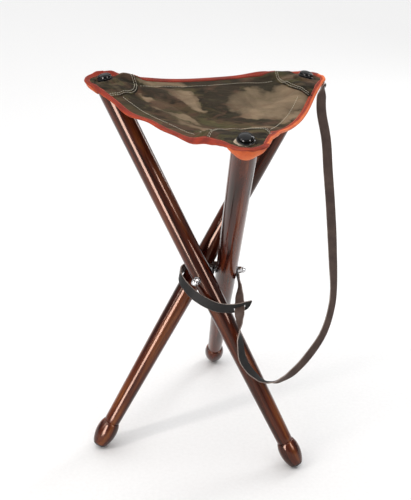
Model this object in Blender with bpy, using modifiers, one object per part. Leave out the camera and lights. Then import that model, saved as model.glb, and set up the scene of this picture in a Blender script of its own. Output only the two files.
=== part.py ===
"""Folding three-leg field stool: crossed wooden legs, a slung canvas seat and a carrying strap.

Frame: metres, +Z up. The origin is on the floor, straight below the hub. The hub is a three-way stud,
and each leg turns on its own stud. Each leg's empty sits on its stud: local X is the stud's outward
direction (the hinge axis) and local Z runs up the leg.
"""

import math

import bmesh
import bpy
from mathutils import Matrix, Vector

# Driving dimensions
LEG_LENGTH = 0.660  # seat end to foot end, along the leg
BELOW_HUB = 0.339  # stud to foot end, along the leg
LEAN = math.radians(32.3)  # each open leg, from the vertical
HUB_RADIUS = 0.0251  # stool's axis to each leg's axis, at the hub
SEAT_SLOPE = math.radians(14.0)  # top face of each open leg, from the horizontal
LEG_R_TOP = 0.01675
LEG_R_HUB = 0.0161
LEG_R_NECK = 0.01225
FOOT_R = 0.0166
FOOT_LENGTH = 0.043
FOOT_END_R = 0.0099
GAP = 0.0003  # left between pieces that touch
TURN_STEPS = 24
SMALL_STEPS = 16  # sides of the small turned and drilled parts

PAD_THICK = 0.0025
PAD_STEM_R = 0.003
PAD_STEM_LENGTH = 0.010

STUD_R = 0.0030
BORE_R = 0.00325
BOSS_R = 0.0065
BOSS_HEIGHT = 0.013
WASHER_R = 0.0060
WASHER_THICK = 0.0012
NUT_FLATS = 0.010
NUT_HEX_HEIGHT = 0.0055
NUT_DOME_R = 0.00475
NUT_HEIGHT = 0.0122
NUT_BORE_DEPTH = 0.0090
STUD_IN_NUT = 0.0080

PANEL_THICK = 0.0012
PATCH_THICK = 0.0010
PATCH_RISE = 0.0021  # panel's middle to patch's middle
CORNER_R = 0.029  # leg's end to the rim, at a corner
RIM_RISE = 0.002  # rim over the leg ends, at a corner
DISH_DEPTH = 0.030  # seat's centre under the leg ends
CLAMP_R = 0.0185  # seat lies flat on the leg's end out to here
ARC_STEPS = 5  # stations in half a corner's arc
EDGE_STEPS = 10  # stations along an edge
RINGS = (0.0, 0.20, 0.40, 0.56, 0.66, 0.73, 0.79, 0.84, 0.89, 0.93, 0.965, 1.0)
# (bow of the edge towards the seat's centre, sag at its lowest, skew of the lowest point)
EDGES = {
    "right": (0.0110, 0.033, -0.50),  # front corner to right corner
    "rear": (0.0065, 0.008, -0.60),  # right corner to left corner
    "left": (0.0080, 0.024, 0.20),  # left corner to front corner
}

PATCH_R = 0.045
BINDING_WIDTH = 0.0070
BINDING_THICK = 0.0009
BINDING_GAP = 0.0011
PATCH_MARGIN = 0.0025  # binding to patch
POCKET_DEPTH = 0.017
POCKET_THICK = 0.0016
POCKET_EASE = 0.0010  # pocket's lower edge off the leg

SEAT_SCREW_R = 0.00225
SEAT_SCREW_LENGTH = 0.032
SEAT_HOLE_R = 0.0029
SEAT_STACK = 0.0041  # leg's end to the top of the corner patch
CUP_R = 0.01175
CUP_HEIGHT = 0.0016
CAP_R = 0.0107
CAP_HEIGHT = 0.0068

STRAP_WIDTH = 0.0150
STRAP_THICK = 0.0020
SLOT_LENGTH = 0.0200
SLOT_HEIGHT = 0.0065
RIVET_R = 0.0015
RIVET_HEAD_R = 0.0040
RIVET_HEAD_THICK = 0.0012
RIVET_GRIP = 0.0088  # strap's middle to the inner head
RIVET_DOWN = 0.55  # share of the strap's straight top end

ABOVE_HUB = LEG_LENGTH - BELOW_HUB
HUB_HEIGHT = BELOW_HUB * math.cos(LEAN) + FOOT_END_R * math.sin(LEAN)
END_CUT = LEAN - SEAT_SLOPE  # top face of a leg, off square to the leg
LEGS = {"front": 0.0, "right": math.radians(120.0), "left": math.radians(240.0)}  # azimuth of each stud

# Strap's route: (x, y, z, then the direction that its brown face looks in), by hand
RUN = [
    (0.1646, 0.1036, 0.5603, 0.99, -0.14, 0.00),
    (0.1634, 0.1038, 0.5520, 0.99, -0.14, 0.00),
    (0.1628, 0.1015, 0.5350, 0.80, -0.60, 0.00),
    (0.1650, 0.0970, 0.5130, 0.40, -0.90, 0.05),
    (0.1750, 0.0900, 0.4730, 0.20, -0.98, 0.10),
    (0.1810, 0.0800, 0.4280, 0.15, -0.98, 0.15),
    (0.1870, 0.0670, 0.3830, 0.15, -0.98, 0.20),
    (0.1920, 0.0520, 0.3380, 0.20, -0.98, 0.20),
    (0.1960, 0.0360, 0.2930, 0.25, -0.95, 0.20),
    (0.1990, 0.0190, 0.2480, 0.30, -0.95, 0.10),
    (0.1950, 0.0030, 0.2160, 0.35, -0.90, -0.20),
    (0.1830, -0.0150, 0.1860, 0.40, -0.80, -0.40),
    (0.1620, -0.0340, 0.1610, 0.40, -0.70, -0.60),
    (0.1380, -0.0530, 0.1430, 0.30, -0.60, -0.75),
    (0.1150, -0.0690, 0.1360, 0.00, -0.45, -0.90),
    (0.0960, -0.0810, 0.1400, -0.20, -0.15, -0.95),
    (0.0830, -0.0880, 0.1480, -0.30, 0.25, -0.90),
    (0.0740, -0.0900, 0.1550, -0.35, 0.50, -0.75),
    (0.0600, -0.0870, 0.1680, -0.40, 0.80, -0.50),
    (0.0500, -0.0820, 0.1850, -0.40, 0.90, -0.20),
    (0.0460, -0.0765, 0.2080, -0.70, 0.70, -0.05),
    (0.0442, -0.0680, 0.2250, -0.98, -0.05, 0.05),
    (0.0440, -0.0635, 0.2390, -0.60, -0.75, 0.20),
    (0.0440, -0.0560, 0.2480, -0.05, -0.55, 0.85),
    (0.0445, -0.0475, 0.2525, 0.00, -0.45, 0.90),
    (0.0450, -0.0300, 0.2590, -0.10, -0.65, 0.75),
    (0.0455, -0.0180, 0.2690, -0.70, -0.50, 0.40),
    (0.0450, -0.0110, 0.2718, -1.00, -0.10, 0.05),
    (0.0450, -0.0050, 0.2725, -1.00, -0.05, 0.00),
]
NOOSE = [
    (0.0450, -0.0035, 0.2727, -1.00, -0.05, 0.00),
    (0.0450, 0.0080, 0.2740, -1.00, -0.05, 0.00),
    (0.0420, 0.0280, 0.2745, -0.80, -0.60, 0.00),
    (0.0265, 0.0390, 0.2750, -0.30, -0.95, 0.00),
    (0.0080, 0.0425, 0.2755, 0.00, -1.00, 0.00),
    (-0.0120, 0.0435, 0.2760, 0.10, -1.00, 0.00),
    (-0.0300, 0.0380, 0.2765, 0.60, -0.80, 0.00),
    (-0.0430, 0.0220, 0.2780, 0.95, -0.30, 0.00),
    (-0.0460, 0.0000, 0.2790, 1.00, 0.00, 0.00),
    (-0.0410, -0.0230, 0.2790, 0.95, 0.30, 0.10),
    (-0.0270, -0.0440, 0.2730, 0.60, 0.80, 0.10),
    (-0.0080, -0.0530, 0.2640, 0.10, 1.00, -0.05),
    (0.0100, -0.0550, 0.2570, -0.05, 1.00, -0.05),
    (0.0290, -0.0515, 0.2530, -0.22, 1.00, -0.05),
    (0.0445, -0.0475, 0.2530, -0.22, 1.00, 0.00),
    (0.0550, -0.0450, 0.2550, -0.22, 1.00, 0.00),
    (0.0640, -0.0430, 0.2580, -0.22, 1.00, 0.00),
]
CROSSING = 24  # row of the run that is in the noose's slot
RUN_STEP = 0.0120
NOOSE_STEP = 0.0090
TIP_LENGTH = 0.014  # pointed end of the strap


for old in list(bpy.data.objects):
    bpy.data.objects.remove(old, do_unlink=True)

parts = bpy.data.collections.new("three_leg_stool")
cutters = bpy.data.collections.new("cutters")
bpy.context.scene.collection.children.link(parts)
bpy.context.scene.collection.children.link(cutters)


# ---------------------------------------------------------------- materials


def material(name, color, roughness, metallic=0.0):
    """A Principled material of one colour."""
    made = bpy.data.materials.new(name)
    made.use_nodes = True
    shader = made.node_tree.nodes["Principled BSDF"]
    shader.inputs["Base Color"].default_value = (*color, 1.0)
    shader.inputs["Roughness"].default_value = roughness
    shader.inputs["Metallic"].default_value = metallic
    return made


WOOD = material("stained_beech", (0.105, 0.028, 0.016), 0.28)
RUBBER = material("foot_rubber", (0.020, 0.018, 0.018), 0.70)
STEEL = material("plated_steel", (0.60, 0.60, 0.60), 0.22, 1.0)
CHROME = material("chrome", (0.80, 0.80, 0.82), 0.08, 1.0)
CANVAS = material("camouflage_canvas", (0.105, 0.095, 0.060), 0.85)
PATCH = material("corner_canvas", (0.070, 0.068, 0.048), 0.85)
ORANGE = material("orange_leather", (0.700, 0.150, 0.060), 0.55)
BLACK = material("black_plastic", (0.010, 0.010, 0.011), 0.15)
STRAP = material("strap_leather", (0.090, 0.060, 0.048), 0.60)


# ---------------------------------------------------------------- modelling helpers


def add(obj, finish=None, parent=None):
    """Put a new object in the parts or, with no finish, in the cutters."""
    for home in list(obj.users_collection):
        home.objects.unlink(obj)
    if finish is None:
        cutters.objects.link(obj)
        obj.hide_render = True
        obj.display_type = "WIRE"
    else:
        parts.objects.link(obj)
        obj.data.materials.clear()
        obj.data.materials.append(finish)
        obj.data.shade_smooth()
        obj.data.set_sharp_from_angle(angle=math.radians(35.0))
    obj.parent = parent
    return obj


def new_object(name, finish, parent=None, verts=(), edges=(), faces=()):
    """An object from points that a function has worked out."""
    mesh = bpy.data.meshes.new(name)
    mesh.from_pydata([tuple(v) for v in verts], list(edges), list(faces))
    return add(bpy.data.objects.new(name, mesh), finish, parent)


def turned(name, finish, profile, parent=None, steps=TURN_STEPS):
    """A solid of revolution about local Z. profile is (radius, z), top to bottom."""
    verts = [(r, 0.0, z) for r, z in profile]
    edges = [(i, i + 1) for i in range(len(profile) - 1)]
    obj = new_object(name, finish, parent, verts, edges)
    screw = obj.modifiers.new("turn", "SCREW")
    screw.axis = "Z"
    screw.angle = math.tau
    screw.steps = steps
    screw.render_steps = steps
    screw.use_merge_vertices = True
    screw.merge_threshold = 0.00001
    return obj


def cylinder(name, finish, radius, start, end, parent=None, sides=SMALL_STEPS):
    """A straight cylinder between two points."""
    start, end = Vector(start), Vector(end)
    axis = end - start
    bpy.ops.mesh.primitive_cylinder_add(vertices=sides, radius=radius, depth=axis.length)
    obj = bpy.context.active_object
    obj.name = name
    turn = Vector((0.0, 0.0, 1.0)).rotation_difference(axis.normalized()).to_matrix().to_4x4()
    obj.data.transform(Matrix.Translation((start + end) / 2) @ turn)
    return add(obj, finish, parent)


def boolean(obj, other, operation="DIFFERENCE"):
    """Cut a cutter out of an object, or join it on."""
    change = obj.modifiers.new(other.name, "BOOLEAN")
    change.operation = operation
    change.solver = "EXACT"
    change.object = other


def loft(name, finish, sections, parent=None):
    """A closed solid through equal rings of points, with a flat cap at each end."""
    count = len(sections[0])
    verts = [p for ring in sections for p in ring]
    faces = []
    for row in range(len(sections) - 1):
        for k in range(count):
            here, ahead = row * count + k, row * count + (k + 1) % count
            faces.append((here, ahead, ahead + count, here + count))
    last = (len(sections) - 1) * count
    faces.append(tuple(reversed(range(count))))
    faces.append(tuple(range(last, last + count)))
    obj = new_object(name, finish, parent, verts, (), faces)
    face_out(obj)
    return obj


def face_out(obj):
    """Turn a closed mesh's faces outwards."""
    mesh = bmesh.new()
    mesh.from_mesh(obj.data)
    bmesh.ops.recalc_face_normals(mesh, faces=mesh.faces)
    mesh.to_mesh(obj.data)
    mesh.free()


def smooth_step(x):
    x = min(max(x, 0.0), 1.0)
    return x * x * (3.0 - 2.0 * x)


# ---------------------------------------------------------------- leg frames


def leg_frame(azimuth):
    """World placement of a leg: X out along its stud, Z up the leg, origin on the stud."""
    out = Vector((math.cos(azimuth), math.sin(azimuth), 0.0))
    side = Vector((math.sin(azimuth), -math.cos(azimuth), 0.0))  # the way the top leans
    up = side * math.sin(LEAN) + Vector((0.0, 0.0, math.cos(LEAN)))
    across = up.cross(out)
    place = Matrix((out, across, up)).transposed().to_4x4()
    place.translation = out * HUB_RADIUS + Vector((0.0, 0.0, HUB_HEIGHT))
    return place


FRAMES = {side: leg_frame(azimuth) for side, azimuth in LEGS.items()}
TOPS = {side: frame @ Vector((0.0, 0.0, ABOVE_HUB)) for side, frame in FRAMES.items()}
END_NORMAL = Vector((0.0, math.sin(END_CUT), math.cos(END_CUT)))  # in the leg's own axes
NORMALS = {side: (frame.to_3x3() @ END_NORMAL) for side, frame in FRAMES.items()}


def pivots():
    """One empty on each stud, and one on each leg's end, square to its top face."""
    made = {}
    for side, frame in FRAMES.items():
        pivot = bpy.data.objects.new(f"pivot_{side}", None)
        pivot.matrix_world = frame
        parts.objects.link(pivot)
        end = bpy.data.objects.new(f"seat_end_{side}", None)
        end.parent = pivot
        end.location = (0.0, 0.0, ABOVE_HUB)
        end.rotation_euler = (-END_CUT, 0.0, 0.0)
        parts.objects.link(end)
        made[side] = (pivot, end)
    return made


# ---------------------------------------------------------------- legs and feet


def leg_profile():
    """Radius down a leg, from above its seat end to its foot's end."""
    foot_end = -BELOW_HUB + PAD_THICK + GAP
    neck = -BELOW_HUB + FOOT_LENGTH
    profile = [(0.0, ABOVE_HUB + 0.012), (LEG_R_TOP, ABOVE_HUB + 0.012), (LEG_R_TOP, ABOVE_HUB * 0.9)]
    for k in (1, 2, 3):
        profile.append((LEG_R_TOP + (LEG_R_HUB - LEG_R_TOP) * k / 3, ABOVE_HUB * 0.9 * (1 - k / 3)))
    for k in (1, 2, 3, 4):
        share = k / 4
        profile.append((LEG_R_HUB + (LEG_R_NECK - LEG_R_HUB) * share**1.3, neck * share))
    bulb = foot_end - neck
    profile.append((LEG_R_NECK + 0.0006, neck + 0.03 * bulb))
    for share, swell in ((0.12, 0.45), (0.26, 0.80), (0.42, 1.0), (0.60, 0.97), (0.76, 0.72), (0.90, 0.32)):
        low = LEG_R_NECK + (FOOT_END_R - LEG_R_NECK) * share
        profile.append((low + (FOOT_R - low) * swell, neck + share * bulb))
    return profile + [(FOOT_END_R, foot_end), (0.0, foot_end)]


def make_leg(side, pivot):
    """A turned leg with its stud bore, cut seat end, and holes for the seat screw and the foot pad."""
    leg = turned(f"leg_{side}", WOOD, leg_profile(), pivot)
    top = Vector((0.0, 0.0, ABOVE_HUB))
    bore = cylinder(f"bore_{side}", None, BORE_R, (-0.03, 0, 0), (0.03, 0, 0), pivot)
    boolean(leg, bore)
    cut = cylinder(f"end_cut_{side}", None, 0.05, top, top + END_NORMAL * 0.04, pivot)
    boolean(leg, cut)
    depth = SEAT_SCREW_LENGTH - SEAT_STACK
    pilot_end = top - END_NORMAL * depth
    pilot = cylinder(f"pilot_{side}", None, SEAT_SCREW_R + GAP, top + END_NORMAL * 0.02, pilot_end, pivot)
    boolean(leg, pilot)
    foot = -BELOW_HUB
    stem_top = foot + PAD_THICK + PAD_STEM_LENGTH + 2 * GAP
    stem = cylinder(f"stem_hole_{side}", None, PAD_STEM_R + GAP, (0, 0, foot), (0, 0, stem_top), pivot)
    boolean(leg, stem)
    return leg


def make_foot_pad(side, pivot):
    """A rubber pad on the foot's flat end, with a stem pressed up into the wood."""
    bottom = -BELOW_HUB
    shoulder = bottom + PAD_THICK
    profile = [
        (0.0, shoulder + PAD_STEM_LENGTH),
        (PAD_STEM_R, shoulder + PAD_STEM_LENGTH),
        (PAD_STEM_R, shoulder),
        (FOOT_END_R, shoulder),
        (FOOT_END_R, bottom),
        (0.0, bottom),
    ]
    turned(f"foot_pad_{side}", RUBBER, profile, pivot)


# ---------------------------------------------------------------- hub


def make_hub():
    """A steel boss with three studs welded to it, one for each leg."""
    centre = Vector((0.0, 0.0, HUB_HEIGHT))
    half = Vector((0.0, 0.0, BOSS_HEIGHT / 2))
    boss = cylinder("hub_stud", STEEL, BOSS_R, centre - half, centre + half)
    reach = HUB_RADIUS + LEG_R_HUB + WASHER_THICK + 3 * GAP + STUD_IN_NUT
    for side, azimuth in LEGS.items():
        out = Vector((math.cos(azimuth), math.sin(azimuth), 0.0))
        stud = cylinder(f"stud_{side}", None, STUD_R, centre, centre + out * reach)
        boolean(boss, stud, "UNION")


def washer(name, start, pivot):
    """A plain washer on a stud, from start outwards along the leg's local X."""
    ring = cylinder(name, STEEL, WASHER_R, (start, 0, 0), (start + WASHER_THICK, 0, 0), pivot)
    hole = cylinder(f"hole_{name}", None, BORE_R, (start - 0.01, 0, 0), (start + 0.01, 0, 0), pivot)
    boolean(ring, hole)


def make_hub_hardware(side, pivot):
    """Inner and outer washers and the domed cap nut on one stud, placed from the leg's axis."""
    washer(f"inner_washer_{side}", -LEG_R_HUB - GAP - WASHER_THICK, pivot)
    outer = LEG_R_HUB + GAP
    washer(f"outer_washer_{side}", outer, pivot)
    seat = outer + WASHER_THICK + GAP
    corner_r = NUT_FLATS / math.sqrt(3.0)
    hex_end = seat + NUT_HEX_HEIGHT
    nut = cylinder(f"cap_nut_{side}", CHROME, corner_r, (seat, 0, 0), (hex_end, 0, 0), pivot, 6)
    dome_height = NUT_HEIGHT - NUT_HEX_HEIGHT
    straight = dome_height - NUT_DOME_R
    profile = [(0.0, dome_height)]
    for k in range(1, 6):
        turn = math.radians(18.0 * k)
        profile.append((NUT_DOME_R * math.sin(turn), straight + NUT_DOME_R * math.cos(turn)))
    profile += [(NUT_DOME_R, -0.001), (0.0, -0.001)]
    dome = turned(f"nut_dome_{side}", None, profile, pivot, SMALL_STEPS)
    dome.rotation_euler = (0.0, math.radians(90.0), 0.0)
    dome.location = (hex_end, 0.0, 0.0)
    boolean(nut, dome, "UNION")
    bore_end = (seat + NUT_BORE_DEPTH, 0, 0)
    thread = cylinder(f"nut_bore_{side}", None, BORE_R, (seat - 0.01, 0, 0), bore_end, pivot)
    boolean(nut, thread)


# ---------------------------------------------------------------- seat's shape

CORNERS = ("front", "right", "left")  # counter-clockwise
EDGE_NAMES = ("right", "rear", "left")  # edge that follows each corner
TOP_HEIGHT = TOPS["front"].z
OUTWARD = {side: math.atan2(top.y, top.x) for side, top in TOPS.items()}
CLAMP_RISE = GAP + PANEL_THICK / 2 + 0.0002  # leg's end to the panel's middle


def edge_point(index, s):
    """Rim of the seat along an edge, s from 0 at one corner to 1 at the next."""
    here, ahead = TOPS[CORNERS[index]], TOPS[CORNERS[(index + 1) % 3]]
    bow, sag, skew = EDGES[EDGE_NAMES[index]]
    along = (ahead - here).normalized()
    normal = Vector((along.y, -along.x, 0.0))
    lowest = s + skew * s * (1.0 - s)
    out = CORNER_R - bow * 4.0 * s * (1.0 - s)
    point = here.lerp(ahead, s) + normal * out
    point.z = TOP_HEIGHT + RIM_RISE - sag * math.sin(math.pi * lowest) ** 1.4
    return point


def arc_point(side, turn):
    """Rim of the seat round a corner, turn in radians from straight out."""
    angle = OUTWARD[side] + turn
    out = Vector((math.cos(angle), math.sin(angle), 0.0))
    return TOPS[side] + out * CORNER_R + Vector((0.0, 0.0, RIM_RISE))


def rim_stations(index):
    """Rim points from the middle of a corner to the middle of the next, both ends included."""
    side, following = CORNERS[index], CORNERS[(index + 1) % 3]
    third = math.radians(60.0)
    points = [arc_point(side, third * k / ARC_STEPS) for k in range(ARC_STEPS)]
    for k in range(EDGE_STEPS + 1):
        points.append(edge_point(index, (1.0 - math.cos(math.pi * k / EDGE_STEPS)) / 2))
    points += [arc_point(following, -third * (1 - k / ARC_STEPS)) for k in range(1, ARC_STEPS + 1)]
    return points


INNER_R = min(edge_point(i, 0.5).to_2d().length for i in range(3))
OUTER_R = TOPS["front"].to_2d().length + CORNER_R


def seat_height(x, y, share, rim):
    """Height of the panel's middle at a point that lies a share of the way from the centre to the rim."""
    cornered = smooth_step((rim.to_2d().length - INNER_R) / (OUTER_R - INNER_R))
    power = 1.9 - 0.8 * cornered
    centre = TOP_HEIGHT - DISH_DEPTH
    height = centre + (rim.z - centre) * share**power
    for side, top in TOPS.items():
        offset = Vector((x - top.x, y - top.y, 0.0))
        away = offset.length
        inward = 0.0 if away < 1e-6 else -offset.normalized().dot(top.to_2d().to_3d().normalized())
        reach = 0.0105 + 0.030 * smooth_step((inward + 0.5) / 1.5)
        hold = min(max(1.0 - (away - CLAMP_R) / reach, 0.0), 1.0)
        hold = hold + (smooth_step(hold) - hold) * smooth_step((inward + 0.5) / 1.5)
        if hold > 0.0:
            normal = NORMALS[side]
            flat = top.z + (CLAMP_RISE - normal.x * offset.x - normal.y * offset.y) / normal.z
            height += (flat - height) * hold
    return height


def seat_point(rim, share):
    """A point of the panel's middle surface on the line from the seat's centre to a rim point."""
    x, y = rim.x * share, rim.y * share
    return Vector((x, y, seat_height(x, y, share, rim)))


def seat_normal(rim, ahead, share):
    """The panel's upward normal beside a rim point. ahead is the next rim point round."""
    inner = max(share - 0.02, 0.0)
    inward = seat_point(rim, inner + 0.04) - seat_point(rim, inner)
    round_rim = seat_point(rim.lerp(ahead, 0.2), share) - seat_point(rim, share)
    return inward.cross(round_rim).normalized()


def make_panel():
    """The canvas: rings about the seat's centre, thickened both ways, with a hole for each screw."""
    rim = [p for index in range(3) for p in rim_stations(index)[:-1]]
    count = len(rim)
    verts = [seat_point(rim[0], 0.0)]
    for share in RINGS[1:]:
        verts += [seat_point(p, share) for p in rim]
    faces = [(0, 1 + k, 1 + (k + 1) % count) for k in range(count)]
    for ring in range(len(RINGS) - 2):
        first = 1 + ring * count
        for k in range(count):
            here, ahead = first + k, first + (k + 1) % count
            faces.append((here, here + count, ahead + count, ahead))
    panel = new_object("seat_panel", CANVAS, None, verts, (), faces)
    thicken(panel, PANEL_THICK)
    pierce(panel)


def thicken(obj, thickness):
    solid = obj.modifiers.new("thickness", "SOLIDIFY")
    solid.thickness = thickness
    solid.offset = 0.0


def pierce(obj):
    """Cut the seat screws' holes."""
    for side in CORNERS:
        hole = bpy.data.objects.get(f"seat_hole_{side}")
        if hole is None:
            top, normal = TOPS[side], NORMALS[side]
            hole = cylinder(f"seat_hole_{side}", None, SEAT_HOLE_R, top - normal * 0.01, top + normal * 0.02)
        boolean(obj, hole)


def make_patch(index):
    """The second layer of canvas sewn over a corner, inside the binding."""
    side = CORNERS[index]
    top = TOPS[side].to_2d()
    before = rim_stations((index + 2) % 3)
    after = rim_stations(index)
    rim = before[-ARC_STEPS - 3 : -1] + after[: ARC_STEPS + 4]
    rows = 7
    verts = []
    for k, point in enumerate(rim[:-1]):
        flat = point.to_2d()
        margin = (BINDING_WIDTH + PATCH_MARGIN) / flat.length
        # the line from the seat's centre enters the patch's circle where |share * flat - top| = PATCH_R
        a, b, c = flat.length_squared, flat.dot(top), top.length_squared - PATCH_R**2
        root = math.sqrt(max(b * b - a * c, 0.0))
        start, end = (b - root) / a, 1.0 - margin / math.cos(spread(flat, side))
        for row in range(rows):
            share = start + (end - start) * row / (rows - 1)
            normal = seat_normal(point, rim[k + 1], share)
            verts.append(seat_point(point, share) + normal * PATCH_RISE)
    faces = []
    for k in range(len(rim) - 2):
        for row in range(rows - 1):
            here = k * rows + row
            faces.append((here, here + 1, here + 1 + rows, here + rows))
    patch = new_object(f"corner_patch_{side}", PATCH, None, verts, (), faces)
    thicken(patch, PATCH_THICK)
    pierce(patch)


def spread(flat, side):
    """Angle between the line from the seat's centre and the rim's own outward direction."""
    offset = flat - TOPS[side].to_2d()
    turn = math.atan2(offset.y, offset.x) - OUTWARD[side]
    turn = (turn + math.pi) % math.tau - math.pi
    limit = math.radians(60.0)
    turn = min(max(turn, -limit), limit)
    ray = math.atan2(flat.y, flat.x) - OUTWARD[side]
    return abs(turn - ((ray + math.pi) % math.tau - math.pi))


def binding_section(point, before, ahead):
    """A folded strip's section round the panel's edge, as twelve points that follow the panel."""
    round_rim = (seat_point(ahead, 1.0) - seat_point(before, 1.0)).normalized()
    flat = Vector((-round_rim.y, round_rim.x, 0.0)).normalized()
    slant = max(flat.dot(-point.to_2d().to_3d().normalized()), 0.4)
    steps = [seat_point(point, 1.0 - BINDING_WIDTH * k / 2 / point.to_2d().length / slant) for k in range(3)]
    ups = []
    for k in range(3):
        inward = steps[min(k + 1, 2)] - steps[max(k - 1, 0)]
        ups.append(inward.cross(round_rim).normalized())
        ups[-1] *= 1.0 if ups[-1].z > 0.0 else -1.0
    out = round_rim.cross(ups[0]).normalized()
    out *= 1.0 if out.dot(steps[0] - steps[1]) > 0.0 else -1.0
    near = PANEL_THICK / 2 + BINDING_GAP
    far = near + BINDING_THICK
    flanges = [(steps[k], ups[k]) for k in (2, 1, 0)]
    fold = steps[0] + out * (BINDING_GAP + BINDING_THICK)
    section = [p + up * far for p, up in flanges[:2]]
    section += [fold + ups[0] * far, fold - ups[0] * far]
    section += [p - up * far for p, up in (flanges[1], flanges[0])]
    section += [p - up * near for p, up in flanges[:2]]
    fold = steps[0] + out * BINDING_GAP
    section += [fold - ups[0] * near, fold + ups[0] * near]
    return section + [p + up * near for p, up in (flanges[1], flanges[0])]


def make_binding(index):
    """The orange leather strip folded over one edge of the seat, from corner to corner."""
    before = rim_stations((index + 2) % 3)[-2]
    after = rim_stations((index + 1) % 3)[1]
    points = rim_stations(index)
    points[0] = points[0].lerp(points[1], 0.08)
    points[-1] = points[-1].lerp(points[-2], 0.08)
    line = [before, *points, after]
    sections = [binding_section(line[k], line[k - 1], line[k + 1]) for k in range(1, len(line) - 1)]
    loft(f"edge_binding_{EDGE_NAMES[index]}", ORANGE, sections)


def make_pocket(index, pivot):
    """The leather cup under a corner, from the binding down round the outside of the leg's end."""
    side = CORNERS[index]
    frame = FRAMES[side]
    down = TOPS[side] - frame.to_3x3() @ Vector((0.0, 0.0, POCKET_DEPTH))
    axis = frame.to_3x3() @ Vector((0.0, 0.0, 1.0))
    rim = rim_stations((index + 2) % 3)[-ARC_STEPS - 3 : -1] + rim_stations(index)[: ARC_STEPS + 3]
    drop = PANEL_THICK / 2 + BINDING_GAP + BINDING_THICK + 5 * GAP
    sections = []
    for point in rim:
        out = (point - TOPS[side]).to_2d().to_3d().normalized()
        inside = 1.0 - (2 * POCKET_THICK) / point.to_2d().length
        upper = point - out * (2 * POCKET_THICK)
        upper.z = seat_point(point, inside).z - drop
        round_leg = (out - axis * out.dot(axis)).normalized()
        lower = down + round_leg * (LEG_R_TOP + POCKET_EASE)
        middle = upper.lerp(lower, 0.5) + out * 0.0020
        thick = out * POCKET_THICK
        sections.append([upper + thick, middle + thick, lower + thick, lower, middle, upper])
    pocket = loft(f"corner_pocket_{side}", ORANGE, sections)
    pocket.data.transform(pivot.matrix_world.inverted())
    pocket.parent = pivot
    return pocket


# ---------------------------------------------------------------- seat screws and caps


def make_seat_fixing(side, end):
    """Screw, cup washer and domed cap, square to the leg's top face."""
    seat = SEAT_STACK
    screw_head = seat + CUP_HEIGHT + GAP
    profile = [
        (0.0, screw_head + 0.0026),
        (0.0026, screw_head + 0.0024),
        (0.0042, screw_head + 0.0012),
        (0.0044, screw_head),
        (SEAT_SCREW_R, screw_head),
        (SEAT_SCREW_R, seat - SEAT_SCREW_LENGTH + 0.007),
        (0.0, seat - SEAT_SCREW_LENGTH + 0.002),
    ]
    turned(f"seat_screw_{side}", STEEL, profile, end, SMALL_STEPS)
    ring = [
        (SEAT_HOLE_R, seat + CUP_HEIGHT),
        (CAP_R - 0.0020, seat + CUP_HEIGHT),
        (CUP_R - 0.0005, seat + CUP_HEIGHT),
        (CUP_R, seat + CUP_HEIGHT / 2),
        (CUP_R, seat + GAP),
        (SEAT_HOLE_R, seat + GAP),
        (SEAT_HOLE_R, seat + CUP_HEIGHT),
    ]
    turned(f"screw_cup_{side}", BLACK, ring, end, SMALL_STEPS)
    base = seat + CUP_HEIGHT + GAP
    crown = CAP_HEIGHT
    wall = 0.0012
    profile = [(0.0, base + crown)]
    for share in (0.30, 0.55, 0.75, 0.90, 1.0):
        profile.append((CAP_R * share, base + 0.0020 + (crown - 0.0020) * math.sqrt(1 - 0.98 * share**2)))
    profile += [(CAP_R, base + 0.0016), (CAP_R, base), (CAP_R - wall, base)]
    inner = CAP_R - wall
    for share in (1.0, 0.75, 0.45):
        profile.append((inner * share, base + 0.0008 + (crown - 0.0022) * math.sqrt(1 - 0.95 * share**2)))
    profile.append((0.0, base + crown - wall))
    turned(f"screw_cap_{side}", BLACK, profile, end, SMALL_STEPS)


# ---------------------------------------------------------------- carrying strap


def smooth_route(route, step):
    """Even points along a smooth curve through a route, each with the strap's facing direction."""
    rows = [Vector(row[:3]) for row in route]
    faces = [Vector(row[3:]).normalized() for row in route]
    rows = [rows[0] * 2 - rows[1], *rows, rows[-1] * 2 - rows[-2]]
    fine = []
    for k in range(1, len(rows) - 2):
        before, here, ahead, beyond = rows[k - 1 : k + 3]
        for part in range(8):
            t = part / 8
            bend = (2 * before - 5 * here + 4 * ahead - beyond) * t**2
            bend += (3 * here - before - 3 * ahead + beyond) * t**3
            place = here + ((ahead - before) * t + bend) / 2
            fine.append((place, faces[k - 1].lerp(faces[k], t)))
    fine.append((rows[-2], faces[-1]))
    total = sum((b[0] - a[0]).length for a, b in zip(fine, fine[1:]))
    count = round(total / step)
    wanted, walked, found = [total * k / count for k in range(count + 1)], 0.0, []
    for (a, face_a), (b, face_b) in zip(fine, fine[1:]):
        length = (b - a).length
        while len(found) < count and walked + length >= wanted[len(found)] - 1e-12:
            t = (wanted[len(found)] - walked) / length
            found.append((a.lerp(b, t), face_a.lerp(face_b, t)))
        walked += length
    found.append(fine[-1])
    return found


def strap_sections(route, step, taper=0.0):
    """Rectangular sections along a route, narrowing to a point over the last stretch of taper."""
    rows = smooth_route(route, step)
    left = [0.0]
    for (a, _), (b, _) in zip(rows[::-1], rows[-2::-1]):
        left.append(left[-1] + (b - a).length)
    left.reverse()
    sections = []
    for k, (place, face) in enumerate(rows):
        tangent = (rows[min(k + 1, len(rows) - 1)][0] - rows[max(k - 1, 0)][0]).normalized()
        across = tangent.cross(face).normalized()
        face = across.cross(tangent).normalized()
        share = 1.0 if left[k] >= taper else 0.12 + 0.88 * left[k] / taper
        half = across * STRAP_WIDTH / 2 * share
        depth = face * STRAP_THICK / 2
        front, back = place + depth, place - depth
        sections.append([front + half, front - half, back - half, back + half])
    return sections


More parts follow.
